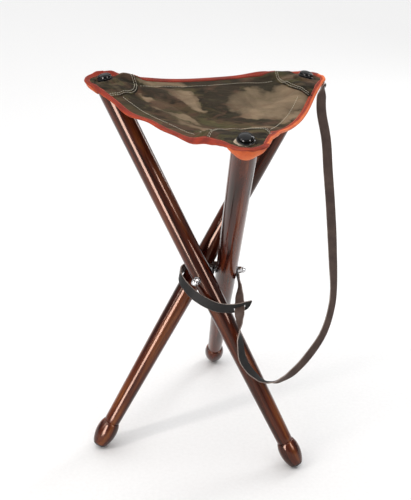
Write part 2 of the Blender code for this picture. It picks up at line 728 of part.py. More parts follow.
def make_strap():
    """The strap's hanging run, and its noose round the legs with a slot that the run passes through."""
    run = loft("carry_strap", STRAP, strap_sections(RUN, RUN_STEP))
    noose = loft("strap_noose", STRAP, strap_sections(NOOSE, NOOSE_STEP, TIP_LENGTH))
    centre = Vector(RUN[CROSSING][:3])
    along = (Vector(RUN[CROSSING + 1][:3]) - Vector(RUN[CROSSING - 1][:3])).normalized()
    across = along.cross(Vector(RUN[CROSSING][3:])).normalized()
    bpy.ops.mesh.primitive_cube_add(size=1.0)
    slot = bpy.context.active_object
    slot.name = "strap_slot"
    sides = Matrix((across * SLOT_LENGTH, along * 0.018, across.cross(along) * SLOT_HEIGHT)).transposed()
    slot.data.transform(Matrix.Translation(centre) @ sides.to_4x4())
    add(slot)
    boolean(noose, slot)
    return run


def make_strap_rivet(run, pocket):
    """The rivet that joins the strap's end to the right corner's pocket, with a head on each side."""
    frame = empties["right"][0].matrix_world.inverted()
    out = Vector(RUN[0][3:]).normalized()
    centre = Vector(RUN[0][:3]).lerp(Vector(RUN[1][:3]), RIVET_DOWN)
    face = centre + out * (STRAP_THICK / 2 + 4 * GAP)
    back = centre - out * RIVET_GRIP
    pivot = empties["right"][0]
    rivet = cylinder("strap_rivet", STEEL, RIVET_R, frame @ back, frame @ (face + out * 0.0004), pivot, 12)
    ends = [frame @ (face + out * RIVET_HEAD_THICK), frame @ (back - out * RIVET_HEAD_THICK)]
    outer = cylinder("rivet_outer_head", None, RIVET_HEAD_R, frame @ face, ends[0], pivot)
    inner = cylinder("rivet_inner_head", None, RIVET_HEAD_R, ends[1], frame @ back, pivot)
    boolean(rivet, outer, "UNION")
    boolean(rivet, inner, "UNION")
    hole = cylinder("rivet_hole", None, RIVET_R + 2 * GAP, back - out * 0.003, face + out * 0.003)
    boolean(run, hole)
    boolean(pocket, hole)


# ---------------------------------------------------------------- assembly

empties = pivots()
bpy.context.view_layer.update()
legs, pockets = {}, {}
make_hub()
for leg_side, (leg_pivot, leg_end) in empties.items():
    legs[leg_side] = make_leg(leg_side, leg_pivot)
    make_foot_pad(leg_side, leg_pivot)
    make_hub_hardware(leg_side, leg_pivot)
    make_seat_fixing(leg_side, leg_end)
make_panel()
for corner_index, corner in enumerate(CORNERS):
    make_patch(corner_index)
    make_binding(corner_index)
    pockets[corner] = make_pocket(corner_index, empties[corner][0])
strap_run = make_strap()
make_strap_rivet(strap_run, pockets["right"])
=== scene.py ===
"""Looks of the folding three-leg stool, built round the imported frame. Metres, +Z up, floor at 0."""

import math

import bmesh
import bpy
import numpy as np
from mathutils import Matrix, Vector, noise


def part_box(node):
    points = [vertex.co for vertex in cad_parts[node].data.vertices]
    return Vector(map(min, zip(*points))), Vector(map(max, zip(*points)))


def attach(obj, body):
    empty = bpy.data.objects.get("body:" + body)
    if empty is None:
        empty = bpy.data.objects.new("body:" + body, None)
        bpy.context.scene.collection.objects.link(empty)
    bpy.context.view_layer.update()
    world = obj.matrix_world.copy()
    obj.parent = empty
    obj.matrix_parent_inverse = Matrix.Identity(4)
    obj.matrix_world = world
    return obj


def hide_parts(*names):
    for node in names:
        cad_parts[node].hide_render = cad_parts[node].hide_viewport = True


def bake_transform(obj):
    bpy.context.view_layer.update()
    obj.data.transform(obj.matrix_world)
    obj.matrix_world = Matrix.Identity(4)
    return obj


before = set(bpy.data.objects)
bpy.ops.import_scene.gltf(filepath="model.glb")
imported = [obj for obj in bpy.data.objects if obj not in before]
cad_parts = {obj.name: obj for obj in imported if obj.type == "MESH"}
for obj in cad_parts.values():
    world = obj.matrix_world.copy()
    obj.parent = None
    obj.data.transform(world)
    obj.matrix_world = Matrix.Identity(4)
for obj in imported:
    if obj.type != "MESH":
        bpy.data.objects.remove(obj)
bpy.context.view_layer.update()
SIDES = ("front", "right", "left")

# Sizes shared with the CAD model
LEG_LENGTH = 0.660
BELOW_HUB = 0.339
ABOVE_HUB = LEG_LENGTH - BELOW_HUB
LEAN = math.radians(32.3)
HUB_RADIUS = 0.0251
LEG_R_TOP, LEG_R_HUB, LEG_R_NECK = 0.01675, 0.0161, 0.01225
FOOT_LENGTH, FOOT_END_R, PAD_THICK = 0.043, 0.0099, 0.0025
HUB_HEIGHT = BELOW_HUB * math.cos(LEAN) + FOOT_END_R * math.sin(LEAN)
END_CUT = LEAN - math.radians(14.0)  # slope of a leg's top face, in the leg's own frame
AZIMUTH = {"front": 0.0, "right": math.radians(120.0), "left": math.radians(240.0)}
WASHER_R, WASHER_HOLE_R, WASHER_THICK, GAP = 0.0060, 0.0033, 0.0012, 0.0003
NUT_ACROSS, NUT_HEXAGON, NUT_LENGTH, NUT_DOME_R = 0.010, 0.0055, 0.0122, 0.00475
STRAP_WIDTH, STRAP_THICK = 0.0150, 0.0020
SEAT_STACK = 0.0041  # leg's end to the top of the leather washer under a cap


# ---------------------------------------------------------------- camera, stage and lights

CAMERA_PLACE = Vector((-0.07238, -1.17329, 0.93912))
CAMERA_FORWARD = Vector((0.04818, 0.88489, -0.46330)).normalized()
CAMERA_UP = Vector((-0.01962, 0.46458, 0.88531))
LENS, SENSOR = 62.84, 36.0  # millimetres
FLOOR_HALF, WALL_RADIUS, WALL_LOW, WALL_HIGH, WALL_SIDES = 40, 18, -0.5, 30.0, 48
FLOOR_TONE, BACKDROP_GLOW = 0.86, 0.93
SKY_STRENGTH, SUN_STRENGTH, SUN_SPREAD = 0.30, 2.55, math.radians(100.0)
SUN_TURN = (math.radians(-14.0), math.radians(-10.0), 0.0)
WHITE, PINKISH = (1.0, 1.0, 1.0), (1.0, 0.92, 0.88)
# Name, place, target, size, watts, colour, and whether it lights matt surfaces or only adds a reflection
SOFT_BOXES = (
    ("key", (-1.5, -0.7, 1.5), (0, 0, 0.35), (0.16, 1.6), 12.0, (1.0, 0.94, 0.90), True),
    ("back", (1.4, 1.2, 1.4), (0, 0, 0.45), (0.20, 1.6), 12.0, WHITE, True),
    ("side", (1.15, -1.0, 1.15), (0, 0, 0.25), (0.40, 1.2), 24.0, PINKISH, False),
    ("front", (-0.80, -1.25, 0.55), (0, 0, 0.35), (0.50, 1.6), 60.0, PINKISH, False),
)


def add_object(name, data):
    made = bpy.data.objects.new(name, data)
    bpy.context.scene.collection.objects.link(made)
    return made


def make_camera():
    data = bpy.data.cameras.new("camera")
    right = CAMERA_FORWARD.cross(CAMERA_UP).normalized()
    up = right.cross(CAMERA_FORWARD).normalized()
    place = Matrix((right, up, -CAMERA_FORWARD)).transposed().to_4x4()
    place.translation = CAMERA_PLACE
    camera = add_object("camera", data)
    camera.matrix_world = place
    data.sensor_width = SENSOR
    data.lens = LENS
    data.clip_start = 0.05
    bpy.context.scene.camera = camera


def stage_object(name, verts, faces, material):
    mesh = bpy.data.meshes.new(name)
    mesh.from_pydata(verts, [], faces)
    mesh.materials.append(material)
    made = add_object(name, mesh)
    return made


def make_stage():
    """A pale floor, and a round white backdrop that only the camera sees."""
    half = FLOOR_HALF
    square = [(-half, -half, 0), (half, -half, 0), (half, half, 0), (-half, half, 0)]
    stage_object("floor", square, [(0, 1, 2, 3)], plain("floor_paint", (FLOOR_TONE,) * 3, 0.9))
    n = Nodes("backdrop_white")
    n.set(Base_Color=(0.0, 0.0, 0.0), Emission_Color=WHITE, Emission_Strength=BACKDROP_GLOW)
    verts, faces = [], []
    for k in range(WALL_SIDES):
        turn = math.tau * k / WALL_SIDES
        x, y = WALL_RADIUS * math.cos(turn), WALL_RADIUS * math.sin(turn)
        verts += [(x, y, WALL_LOW), (x, y, WALL_HIGH)]
        after = 2 * ((k + 1) % WALL_SIDES)
        faces.append((2 * k, 2 * k + 1, after + 1, after))
    backdrop = stage_object("backdrop", verts, faces, n.material)
    for rays in ("diffuse", "glossy", "transmission", "volume_scatter", "shadow"):
        setattr(backdrop, f"visible_{rays}", False)


def make_lights():
    world = bpy.data.worlds.new("studio")
    bpy.context.scene.world = world
    world.use_nodes = True
    background = world.node_tree.nodes["Background"]
    background.inputs["Color"].default_value = (1.0, 1.0, 1.0, 1.0)
    background.inputs["Strength"].default_value = SKY_STRENGTH
    bpy.context.scene.view_settings.view_transform = "Standard"
    sun = add_object("overhead", bpy.data.lights.new("overhead", "SUN"))
    sun.data.energy = SUN_STRENGTH
    sun.data.angle = SUN_SPREAD
    sun.rotation_euler = SUN_TURN
    for name, where, target, size, watts, color, fill in SOFT_BOXES:
        data = bpy.data.lights.new(name, "AREA")
        data.shape = "RECTANGLE"
        data.size, data.size_y = size
        data.energy = watts
        data.color = color
        light = add_object(name, data)
        light.location = where
        light.visible_diffuse = fill
        light.rotation_euler = (Vector(target) - Vector(where)).to_track_quat("-Z", "Y").to_euler()


# ---------------------------------------------------------------- materials


class Nodes:
    """Short names for the shader nodes that the materials use."""

    def __init__(self, name):
        self.material = bpy.data.materials.new(name)
        self.material.use_nodes = True
        self.tree = self.material.node_tree
        self.shader = self.tree.nodes["Principled BSDF"]
        self.object = self.node("ShaderNodeTexCoord").outputs["Object"]

    def feed(self, socket, value):
        """Give a socket a number, a colour or vector, or another node's output."""
        if isinstance(value, (int, float)):
            socket.default_value = value
        elif isinstance(value, tuple):
            socket.default_value = (*value, 1.0) if len(socket.default_value) == 4 else value
        else:
            self.tree.links.new(value, socket)

    def node(self, kind, sockets=None, **values):
        made = self.tree.nodes.new(kind)
        for key, value in values.items():
            setattr(made, key, value)
        for key, value in (sockets or {}).items():
            self.feed(made.inputs[key], value)
        return made

    def place(self, scale=(1.0, 1.0, 1.0), turn=0.0, shift=(0.0, 0.0, 0.0)):
        sockets = {"Vector": self.object, "Scale": scale, "Rotation": (0.0, 0.0, turn), "Location": shift}
        return self.node("ShaderNodeMapping", sockets).outputs["Vector"]

    def noise(self, vector, scale, detail=3.0, rough=0.5, warp=0.0):
        sockets = {"Vector": vector, "Scale": scale, "Detail": detail, "Roughness": rough, "Distortion": warp}
        return self.node("ShaderNodeTexNoise", sockets).outputs["Fac"]

    def wave(self, vector, scale, direction, warp):
        sockets = {"Vector": vector, "Scale": scale, "Distortion": warp}
        return self.node("ShaderNodeTexWave", sockets, bands_direction=direction).outputs["Fac"]

    def ramp(self, value, stops):
        made = self.node("ShaderNodeValToRGB", {"Fac": value})
        elements = made.color_ramp.elements
        while len(elements) < len(stops):
            elements.new(0.5)
        for element, (position, color) in zip(elements, stops):
            element.position = position
            element.color = (*color, 1.0) if isinstance(color, tuple) else (color, color, color, 1.0)
        return made.outputs["Color"]

    def mix(self, share, a, b, how="MIX"):
        made = self.node("ShaderNodeMix", {0: share, 6: a, 7: b}, data_type="RGBA", blend_type=how)
        return made.outputs[2]

    def math(self, how, a, b):
        return self.node("ShaderNodeMath", {0: a, 1: b}, operation=how).outputs[0]

    def bend(self, scale, reach):
        """The object's own coordinates, pushed about by a slow noise."""
        cloud = self.node("ShaderNodeTexNoise", {"Vector": self.object, "Scale": scale, "Detail": 3.0})
        sockets = {0: cloud.outputs["Color"], 1: (2 * reach, 2 * reach, 0.0), 2: self.object}
        push = self.node("ShaderNodeVectorMath", sockets, operation="MULTIPLY_ADD").outputs[0]
        back = {0: push, 1: (reach, reach, 0.0)}
        return self.node("ShaderNodeVectorMath", back, operation="SUBTRACT").outputs[0]

    def blots(self, vector, rows):
        """The highest of several soft-edged ellipses, 1 in the middle of one and 0 at its edge."""
        best = None
        for x, y, long, wide, turn in rows:
            sockets = {"Vector": vector, "Location": (x, y, 0.55), "Scale": (long * 1.5, wide * 1.5, 50.0)}
            sockets["Rotation"] = (0.0, 0.0, math.radians(turn))
            spot = self.node("ShaderNodeMapping", sockets, vector_type="TEXTURE").outputs["Vector"]
            ball = self.node("ShaderNodeTexGradient", {"Vector": spot}, gradient_type="SPHERICAL")
            value = ball.outputs["Fac"]
            best = value if best is None else self.math("MAXIMUM", best, value)
        return best

    def bump(self, height, strength, distance):
        made = self.node("ShaderNodeBump", {"Strength": strength, "Distance": distance, "Height": height})
        self.feed(self.shader.inputs["Normal"], made.outputs["Normal"])

    def set(self, **values):
        for key, value in values.items():
            self.feed(self.shader.inputs[key.replace("_", " ")], value)


def plain(name, color, rough, metal=0.0, spread=0.05, shine=0.5):
    """One colour with a fine, faint variation in tone and roughness."""
    n = Nodes(name)
    fine = n.noise(n.object, 180.0)
    dark = tuple(c * (1.0 - 2 * spread) for c in color)
    n.set(Base_Color=n.mix(fine, dark, color), Metallic=metal, Specular_IOR_Level=shine)
    n.set(Roughness=n.ramp(fine, [(0.3, max(rough - spread, 0.02)), (0.7, rough + spread)]))
    return n.material


def wood_material():
    """Glossy red-brown stain over a long grain, with dark pores."""
    n = Nodes("stained_wood")
    grain = n.noise(n.place((70.0, 70.0, 5.0)), 1.0, 4.0, 0.55, 0.6)
    pores = n.noise(n.place((420.0, 420.0, 16.0)), 1.0, 2.0, 0.6)
    cloud = n.noise(n.place((9.0, 9.0, 3.0)), 1.0, 2.0)
    stops = [
        (0.38, (0.006, 0.0012, 0.0008)), (0.47, (0.034, 0.0046, 0.0024)),
        (0.56, (0.096, 0.0175, 0.0068)), (0.68, (0.210, 0.0600, 0.0150)),
    ]
    tone = n.ramp(n.math("ADD", n.math("MULTIPLY", grain, 0.72), n.math("MULTIPLY", cloud, 0.30)), stops)
    flecks = n.ramp(pores, [(0.32, 0.20), (0.46, 1.0)])
    n.set(Base_Color=n.mix(0.55, tone, flecks, "MULTIPLY"))
    n.set(Roughness=n.ramp(cloud, [(0.3, 0.11), (0.7, 0.19)]), Specular_IOR_Level=0.46)
    n.set(Specular_Tint=(1.0, 0.72, 0.60))
    n.bump(n.math("ADD", n.math("MULTIPLY", grain, 0.6), pores), 0.18, 0.0004)
    return n.material


# Soft blotches of the seat's canvas: (x, y, half length, half width, turn in degrees). The light ones are
# print. The dark ones are print and also painted shade: the long band along the rear edge, under the binding,
# and the blots over the left of the dish.
LIGHT_BLOTS = (
    (0.058, 0.052, 0.040, 0.026, 12), (0.098, 0.058, 0.040, 0.026, 40), (0.074, 0.020, 0.040, 0.018, -8),
    (-0.036, 0.042, 0.030, 0.011, -52), (-0.084, 0.091, 0.036, 0.010, 4), (0.136, 0.082, 0.034, 0.012, 62),
    (-0.058, -0.006, 0.040, 0.006, -28), (-0.020, -0.052, 0.044, 0.008, -38),
    (0.052, -0.046, 0.030, 0.007, 30), (-0.100, 0.040, 0.012, 0.005, -35), (0.104, 0.010, 0.028, 0.007, 55),
)
# The row at y 0.094 is a long band of painted shade along the rear edge, under the binding; the dark blots at
# negative x add painted shade over the left of the dish.
DARK_BLOTS = (
    (0.003, 0.050, 0.042, 0.022, -55), (0.010, 0.094, 0.120, 0.014, 0), (-0.080, 0.062, 0.038, 0.020, -20),
    (0.030, -0.004, 0.050, 0.014, -12), (0.020, -0.088, 0.044, 0.026, 20), (-0.110, 0.020, 0.030, 0.014, -40),
    (0.112, 0.020, 0.024, 0.014, 50), (-0.060, -0.050, 0.040, 0.012, -45),
)
OLIVE, UMBER, KHAKI = (0.070, 0.062, 0.024), (0.092, 0.048, 0.027), (0.285, 0.205, 0.128)
MOSS, RUSSET, MUD = (0.150, 0.132, 0.056), (0.155, 0.078, 0.050), (0.040, 0.030, 0.019)
# The last colour on the next line is a near-black, painted shade for the weave's hollows.
DEEP, FADED, WEAVE_SHADE = (0.010, 0.008, 0.004), (0.24, 0.19, 0.13), (0.012, 0.010, 0.007)


def canvas_material(name, turn, shift, dark, placed=False):
    """Camouflage print on a woven cloth. dark is how much the dark tones take over a print of noise alone;
    a placed print has the seat's blotches, whose dark ones are partly painted shade."""
    n = Nodes(name)
    base = n.place((1.0, 1.0, 1.0), turn, shift)
    first = n.noise(n.place((9.0, 17.0, 12.0), turn, shift), 1.0, 2.2, 0.45, 1.6)
    second = n.noise(n.place((13.0, 24.0, 12.0), turn + 0.35, (3.1, 1.7, 0.4)), 1.0, 2.0, 0.45, 1.3)
    third = n.noise(n.place((20.0, 42.0, 12.0), turn - 0.25, (7.7, 4.2, 1.4)), 1.0, 2.5, 0.5, 1.2)
    if placed:
        bent = n.bend(30.0, 0.026)
        light = n.math("ADD", n.blots(bent, LIGHT_BLOTS), n.math("MULTIPLY", second, 0.62))
        light = n.ramp(light, [(0.50, 0.0), (0.62, 0.55), (0.86, 1.0)])
        shade = n.math("ADD", n.blots(bent, DARK_BLOTS), n.math("MULTIPLY", third, 0.80))
        shade = n.ramp(shade, [(0.50, 0.0), (0.76, 0.85)])
    else:
        light = n.ramp(second, [(0.54 + dark, 0.0), (0.68 + dark, 0.8)])
        shade = n.ramp(third, [(0.46 - dark, 0.0), (0.58 - dark, 1.0)])
    flecks = n.noise(n.place((30.0, 80.0, 30.0), turn + 0.15, (1.7, 2.2, 3.4)), 1.0, 3.0, 0.6, 1.0)
    stain = n.noise(n.place((11.0, 15.0, 9.0), 0.9, (4.7, 9.2, 0.4)), 1.0, 4.0, 0.6, 0.8)
    tint = n.noise(n.place((16.0, 30.0, 9.0), turn - 0.6, (9.1, 0.3, 2.2)), 1.0, 3.0, 0.6, 1.4)
    inks = n.mix(n.ramp(first, [(0.40, 0.0), (0.57, 1.0)]), OLIVE, UMBER)
    inks = n.mix(shade, inks, DEEP)
    inks = n.mix(n.ramp(flecks, [(0.54, 0.0), (0.68, 0.70)]), inks, DEEP)
    inks = n.mix(light, inks, KHAKI)
    inks = n.mix(n.ramp(flecks, [(0.28, 0.55), (0.42, 0.0)]), inks, MOSS)
    inks = n.mix(n.ramp(stain, [(0.38, 0.55), (0.60, 0.0)]), inks, MUD)
    inks = n.mix(n.ramp(tint, [(0.52, 0.0), (0.66, 0.42)]), inks, RUSSET)
    weave = n.math("MULTIPLY", n.wave(base, 330.0, "X", 0.4), n.wave(base, 330.0, "Y", 0.4))
    slub = n.noise(n.place((60.0, 900.0, 60.0), turn), 1.0, 2.0)
    worn = n.mix(n.ramp(slub, [(0.35, 0.0), (0.75, 0.12)]), inks, FADED)
    # The weave's hollows are darkened towards a near-black: painted shade between the threads.
    n.set(Base_Color=n.mix(n.ramp(weave, [(0.0, 0.25), (0.6, 0.0)]), worn, WEAVE_SHADE))
    n.set(Roughness=n.ramp(slub, [(0.3, 0.52), (0.7, 0.64)]), Specular_IOR_Level=0.055)
    crease = n.noise(n.place((26.0, 64.0, 30.0), turn + 0.5, (2.2, 5.1, 0.7)), 1.0, 2.0, 0.5, 0.9)
    relief = n.math("ADD", weave, n.math("MULTIPLY", slub, 0.6))
    n.bump(n.math("ADD", relief, n.math("MULTIPLY", crease, 13.0)), 0.55, 0.0003)
    return n.material


def leather_material(name, color, dark, rough, pore=650.0):
    """Grained leather: cells of fine grain, slow tonal clouds and darker creases."""
    n = Nodes(name)
    cells = n.node("ShaderNodeTexVoronoi", {"Scale": pore, "Vector": n.object}, feature="F1")
    cloud = n.noise(n.object, 45.0, 4.0, 0.6)
    fine = n.noise(n.object, 900.0, 2.0)
    tone = n.mix(n.ramp(cloud, [(0.35, 0.0), (0.68, 1.0)]), dark, color)
    n.set(Base_Color=n.mix(n.ramp(fine, [(0.3, 0.22), (0.6, 0.0)]), tone, tuple(c * 0.45 for c in dark)))
    n.set(Roughness=n.ramp(cloud, [(0.3, rough - 0.07), (0.7, rough + 0.08)]), Specular_IOR_Level=0.16)
    n.bump(n.math("ADD", cells.outputs["Distance"], n.math("MULTIPLY", fine, 0.5)), 0.28, 0.0004)
    return n.material


def thread_material(name, color):
    n = Nodes(name)
    twist = n.wave(n.object, 900.0, "DIAGONAL", 0.5)
    # The thread is darker in its twist's grooves: painted shade between the plies.
    n.set(Base_Color=n.mix(twist, tuple(c * 0.6 for c in color), color), Roughness=0.75, Sheen_Weight=0.2)
    n.bump(twist, 0.4, 0.0002)
    return n.material


WOOD = wood_material()
CANVAS = canvas_material("camouflage_canvas", 0.45, (0.62, 0.30, 0.0), 0.0, True)
PATCH = canvas_material("patch_canvas", 1.25, (1.31, 0.84, 0.0), 0.03)
ORANGE = leather_material("orange_leather", (0.780, 0.190, 0.052), (0.620, 0.105, 0.028), 0.55, 700.0)
# The next two are darker copies of the orange leather for the binding: the first, on its top, is partly its
# own darker red and partly painted shade; the second, on the left and rear edges and inside the right edge's
# top, is painted shade.
DARK_RED_WITH_SHADE = leather_material("red_leather_with_painted_shade", (0.330, 0.032, 0.012), (0.170, 0.014, 0.006), 0.58, 700.0)
ORANGE_PAINTED_SHADE = leather_material("orange_leather_painted_shade", (0.480, 0.064, 0.020), (0.270, 0.030, 0.010), 0.58, 700.0)
CREAM = leather_material("raw_leather", (0.620, 0.540, 0.440), (0.420, 0.330, 0.240), 0.80)
BROWN = leather_material("strap_brown", (0.112, 0.072, 0.058), (0.066, 0.040, 0.032), 0.56)
GREY = leather_material("strap_grey", (0.026, 0.025, 0.025), (0.012, 0.012, 0.012), 0.66)
CUT = leather_material("strap_cut_edge", (0.400, 0.330, 0.290), (0.210, 0.160, 0.140), 0.70)
CHROME = plain("chrome_plating", (0.62, 0.62, 0.63), 0.08, 1.0, 0.03)
STEEL = plain("zinc_plating", (0.30, 0.30, 0.31), 0.26, 1.0, 0.06)
DULL = plain("dark_steel", (0.09, 0.08, 0.075), 0.42, 1.0, 0.06)
BLACK = plain("black_gloss", (0.005, 0.005, 0.006), 0.09, 0.0, 0.03, 0.22)
RUBBER = plain("foot_rubber", (0.020, 0.018, 0.018), 0.68, 0.0, 0.08)
THREAD = thread_material("cream_thread", (0.62, 0.57, 0.44))
ORANGE_THREAD = thread_material("orange_thread", (0.52, 0.095, 0.035))


# ---------------------------------------------------------------- mesh helpers


def mesh_object(name, verts, faces, materials, picks=None, place=None):
    """A smooth-shaded object. picks gives each face's material, place is the object's matrix."""
    mesh = bpy.data.meshes.new(name)
    mesh.from_pydata([tuple(v) for v in verts], [], [tuple(f) for f in faces])
    for m in materials:
        mesh.materials.append(m)
    if picks is not None:
        mesh.polygons.foreach_set("material_index", picks)
    work = bmesh.new()
    work.from_mesh(mesh)
    bmesh.ops.recalc_face_normals(work, faces=work.faces)
    work.to_mesh(mesh)
    work.free()
    mesh.shade_smooth()
    made = add_object(name, mesh)
    if place is not None:
        made.matrix_world = place
    return made


def crisp(piece, degrees=38.0):
    piece.data.set_sharp_from_angle(angle=math.radians(degrees))


def dress(piece, slot, body, *nodes):
    """Hang a rigid piece on its body and hide the CAD nodes that it stands for. slot is not used."""
    if nodes:
        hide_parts(*nodes)
    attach(piece, body)


def circle(radius, z, sides):
    turns = [math.tau * k / sides for k in range(sides)]
    return [(radius * math.cos(turn), radius * math.sin(turn), z) for turn in turns]


def tube_faces(rings, count, first=0):
    """Quads between successive rings of count points, and a face on each end."""
    faces = []
    for row in range(rings - 1):
        a = first + row * count
        for k in range(count):
            j = (k + 1) % count
            faces.append((a + k, a + j, a + count + j, a + count + k))
    last = first + (rings - 1) * count
    return faces + [tuple(range(first, first + count)), tuple(range(last, last + count))]


def lathe(name, profile, material, place, sides):
    """A turned solid about local Z from (radius, z) rows; rows at radius 0 become poles."""
    verts, rings, faces = [], [], []
    for r, z in profile:
        points = [(0.0, 0.0, z)] if r < 1e-7 else circle(r, z, sides)
        rings.append(range(len(verts), len(verts) + len(points)))
        verts += points
    for a, b in zip(rings, rings[1:]):
        for k in range(sides):
            j = (k + 1) % sides
            if len(a) == 1 and len(b) > 1:
                faces.append((a[0], b[k], b[j]))
            elif len(b) == 1 and len(a) > 1:
                faces.append((a[k], b[0], a[j]))
            elif len(a) > 1:
                faces.append((a[k], b[k], b[j], a[j]))
    return mesh_object(name, verts, faces, [material], None, place)


def sweep(name, sections, materials, picks=None):
    """A tube with closed ends through equal rings of points. picks gives each face's material."""
    verts = [p for ring in sections for p in ring]
    return mesh_object(name, verts, tube_faces(len(sections), len(sections[0])), materials, picks)


def walk(points):
    """Distance along a line to each of its points."""
    walked = [0.0]
    for a, b in zip(points, points[1:]):
        walked.append(walked[-1] + (b - a).length)
    return walked


def station(walked, s):
    """The row before a distance along a line, and the share of the way to the next one."""
    k = min(int(np.searchsorted(walked, s, side="right")) - 1, len(walked) - 2)
    return k, (s - walked[k]) / max(walked[k + 1] - walked[k], 1e-9)


# Rings of a stitch: where along it, radius and height, in shares of its length and radius
STITCH_RINGS = (
    (-0.5, 0.45, -0.5), (-0.34, 1.0, 0.45), (0.0, 1.1, 0.75), (0.34, 1.0, 0.45), (0.5, 0.45, -0.5),
)


def stitches(name, line, ups, pitch, length, radius, material):
    """Thread stitches along a line of surface points, sunk at both ends like sewn ones."""
    walked = walk(line)
    verts, faces, sides = [], [], 6

    def at(s):
        k, t = station(walked, min(max(s, 0.0), walked[-1] - 1e-9))
        return line[k].lerp(line[k + 1], t), ups[k].lerp(ups[k + 1], t).normalized()

    for i in range(max(int(walked[-1] / pitch), 1)):
        faces += tube_faces(len(STITCH_RINGS), sides, len(verts))
        for share, wide, high in STITCH_RINGS:
            s = (i + 0.5) * pitch + share * length
            p, up = at(s)
            along = at(s + 1e-4)[0] - p
            along = along.normalized() if along.length > 1e-8 else Vector((1, 0, 0))
            across = up.cross(along).normalized()
            centre = p + up * (radius * high)
            for x, y, _ in circle(radius * wide, 0.0, sides):
                verts.append(centre + across * x + up * y)
    return mesh_object(name, verts, faces, [material])


# ---------------------------------------------------------------- leg frames


def leg_frame(azimuth):
    """On a leg's axis at the hub: X out along its stud, Z up along the leg."""
    out = Vector((math.cos(azimuth), math.sin(azimuth), 0.0))
    side = Vector((math.sin(azimuth), -math.cos(azimuth), 0.0))
    up = side * math.sin(LEAN) + Vector((0.0, 0.0, math.cos(LEAN)))
    place = Matrix((out, up.cross(out), up)).transposed().to_4x4()
    place.translation = out * HUB_RADIUS + Vector((0.0, 0.0, HUB_HEIGHT))
    return place


FRAMES = {side: leg_frame(AZIMUTH[side]) for side in SIDES}
TOPS = {side: FRAMES[side] @ Vector((0.0, 0.0, ABOVE_HUB)) for side in SIDES}
END_NORMAL = Vector((0.0, math.sin(END_CUT), math.cos(END_CUT)))
NORMALS = {side: (FRAMES[side].to_3x3() @ END_NORMAL).normalized() for side in SIDES}


def end_frame(side):
    """On a leg's end, with Z square to its top face."""
    return FRAMES[side] @ Matrix.Translation((0.0, 0.0, ABOVE_HUB)) @ Matrix.Rotation(-END_CUT, 4, "X")


# ---------------------------------------------------------------- carrying strap

# Route: (x, y, z, then the direction that the brown face looks in)
RUN = [
    (0.1646, 0.1036, 0.5603, 0.99, -0.14, 0.00),
    (0.1634, 0.1038, 0.5520, 0.88, -0.47, 0.00),
    (0.1628, 0.1015, 0.5350, 0.20, -0.96, 0.18),
    (0.1650, 0.0970, 0.5130, 0.10, -0.98, 0.20),
    (0.1750, 0.0900, 0.4730, 0.09, -0.97, 0.21),
    (0.1810, 0.0800, 0.4280, 0.05, -0.97, 0.24),
    (0.1870, 0.0670, 0.3830, 0.10, -0.95, 0.31),
    (0.1920, 0.0520, 0.3380, 0.10, -0.94, 0.33),
    (0.1960, 0.0360, 0.2930, 0.34, -0.87, 0.35),
    (0.1990, 0.0190, 0.2480, 0.59, -0.75, 0.31),
    (0.1950, 0.0030, 0.2160, 0.59, -0.76, 0.26),
    (0.1830, -0.0150, 0.1860, 0.53, -0.81, 0.23),
    (0.1620, -0.0340, 0.1610, 0.49, -0.84, 0.24),
    (0.1380, -0.0530, 0.1430, 0.55, -0.83, 0.13),
    (0.1150, -0.0690, 0.1360, 0.53, -0.76, -0.37),
    (0.0960, -0.0810, 0.1400, -0.02, -0.51, -0.86),
    (0.0830, -0.0880, 0.1480, -0.49, -0.21, -0.85),
    (0.0740, -0.0900, 0.1550, -0.65, 0.12, -0.75),
    (0.0600, -0.0870, 0.1680, -0.62, 0.47, -0.62),
    (0.0500, -0.0820, 0.1850, -0.61, 0.69, -0.39),
    (0.0460, -0.0765, 0.2080, -0.74, 0.59, -0.31),
    (0.0442, -0.0680, 0.2250, -1.00, -0.02, -0.05),
    (0.0440, -0.0635, 0.2390, -0.82, -0.52, 0.24),
    (0.0440, -0.0560, 0.2480, -0.25, -0.55, 0.80),
    (0.0445, -0.0475, 0.2525, -0.14, -0.45, 0.88),
    (0.0450, -0.0300, 0.2590, -0.62, -0.50, 0.60),
    (0.0455, -0.0180, 0.2690, -0.94, -0.26, 0.22),
    (0.0450, -0.0110, 0.2718, -1.00, -0.10, 0.05),
    (0.0450, -0.0050, 0.2725, -1.00, -0.05, 0.00),
]
NOOSE = [
    (0.0450, -0.0035, 0.2727, -1.00, -0.05, 0.00),
    (0.0450, 0.0080, 0.2740, -1.00, -0.05, 0.00),
    (0.0420, 0.0280, 0.2745, -0.80, -0.60, 0.00),
    (0.0265, 0.0390, 0.2750, -0.30, -0.95, 0.00),
    (0.0080, 0.0425, 0.2755, 0.00, -1.00, 0.00),
    (-0.0120, 0.0435, 0.2760, 0.10, -1.00, 0.00),
    (-0.0300, 0.0380, 0.2765, 0.60, -0.80, 0.00),
    (-0.0430, 0.0220, 0.2780, 0.95, -0.30, 0.00),
    (-0.0460, 0.0000, 0.2790, 1.00, 0.00, -0.18),
    (-0.0410, -0.0230, 0.2790, 0.95, 0.30, -0.30),
    (-0.0270, -0.0440, 0.2730, 0.60, 0.80, -0.32),
    (-0.0080, -0.0530, 0.2640, 0.10, 1.00, -0.22),
    (0.0100, -0.0550, 0.2570, -0.05, 1.00, -0.12),
    (0.0290, -0.0515, 0.2530, -0.22, 1.00, -0.05),
    (0.0445, -0.0475, 0.2530, -0.22, 1.00, 0.00),
    (0.0550, -0.0450, 0.2550, -0.22, 1.00, 0.00),
    (0.0640, -0.0430, 0.2580, -0.22, 1.00, 0.00),
]
CROSSING = 24  # row of the run that is in the noose's slot
TIP_LENGTH, TIP_WIDTH_SHARE = 0.014, 0.12
RUN_STEP, NOOSE_STEP = 0.0028, 0.0026
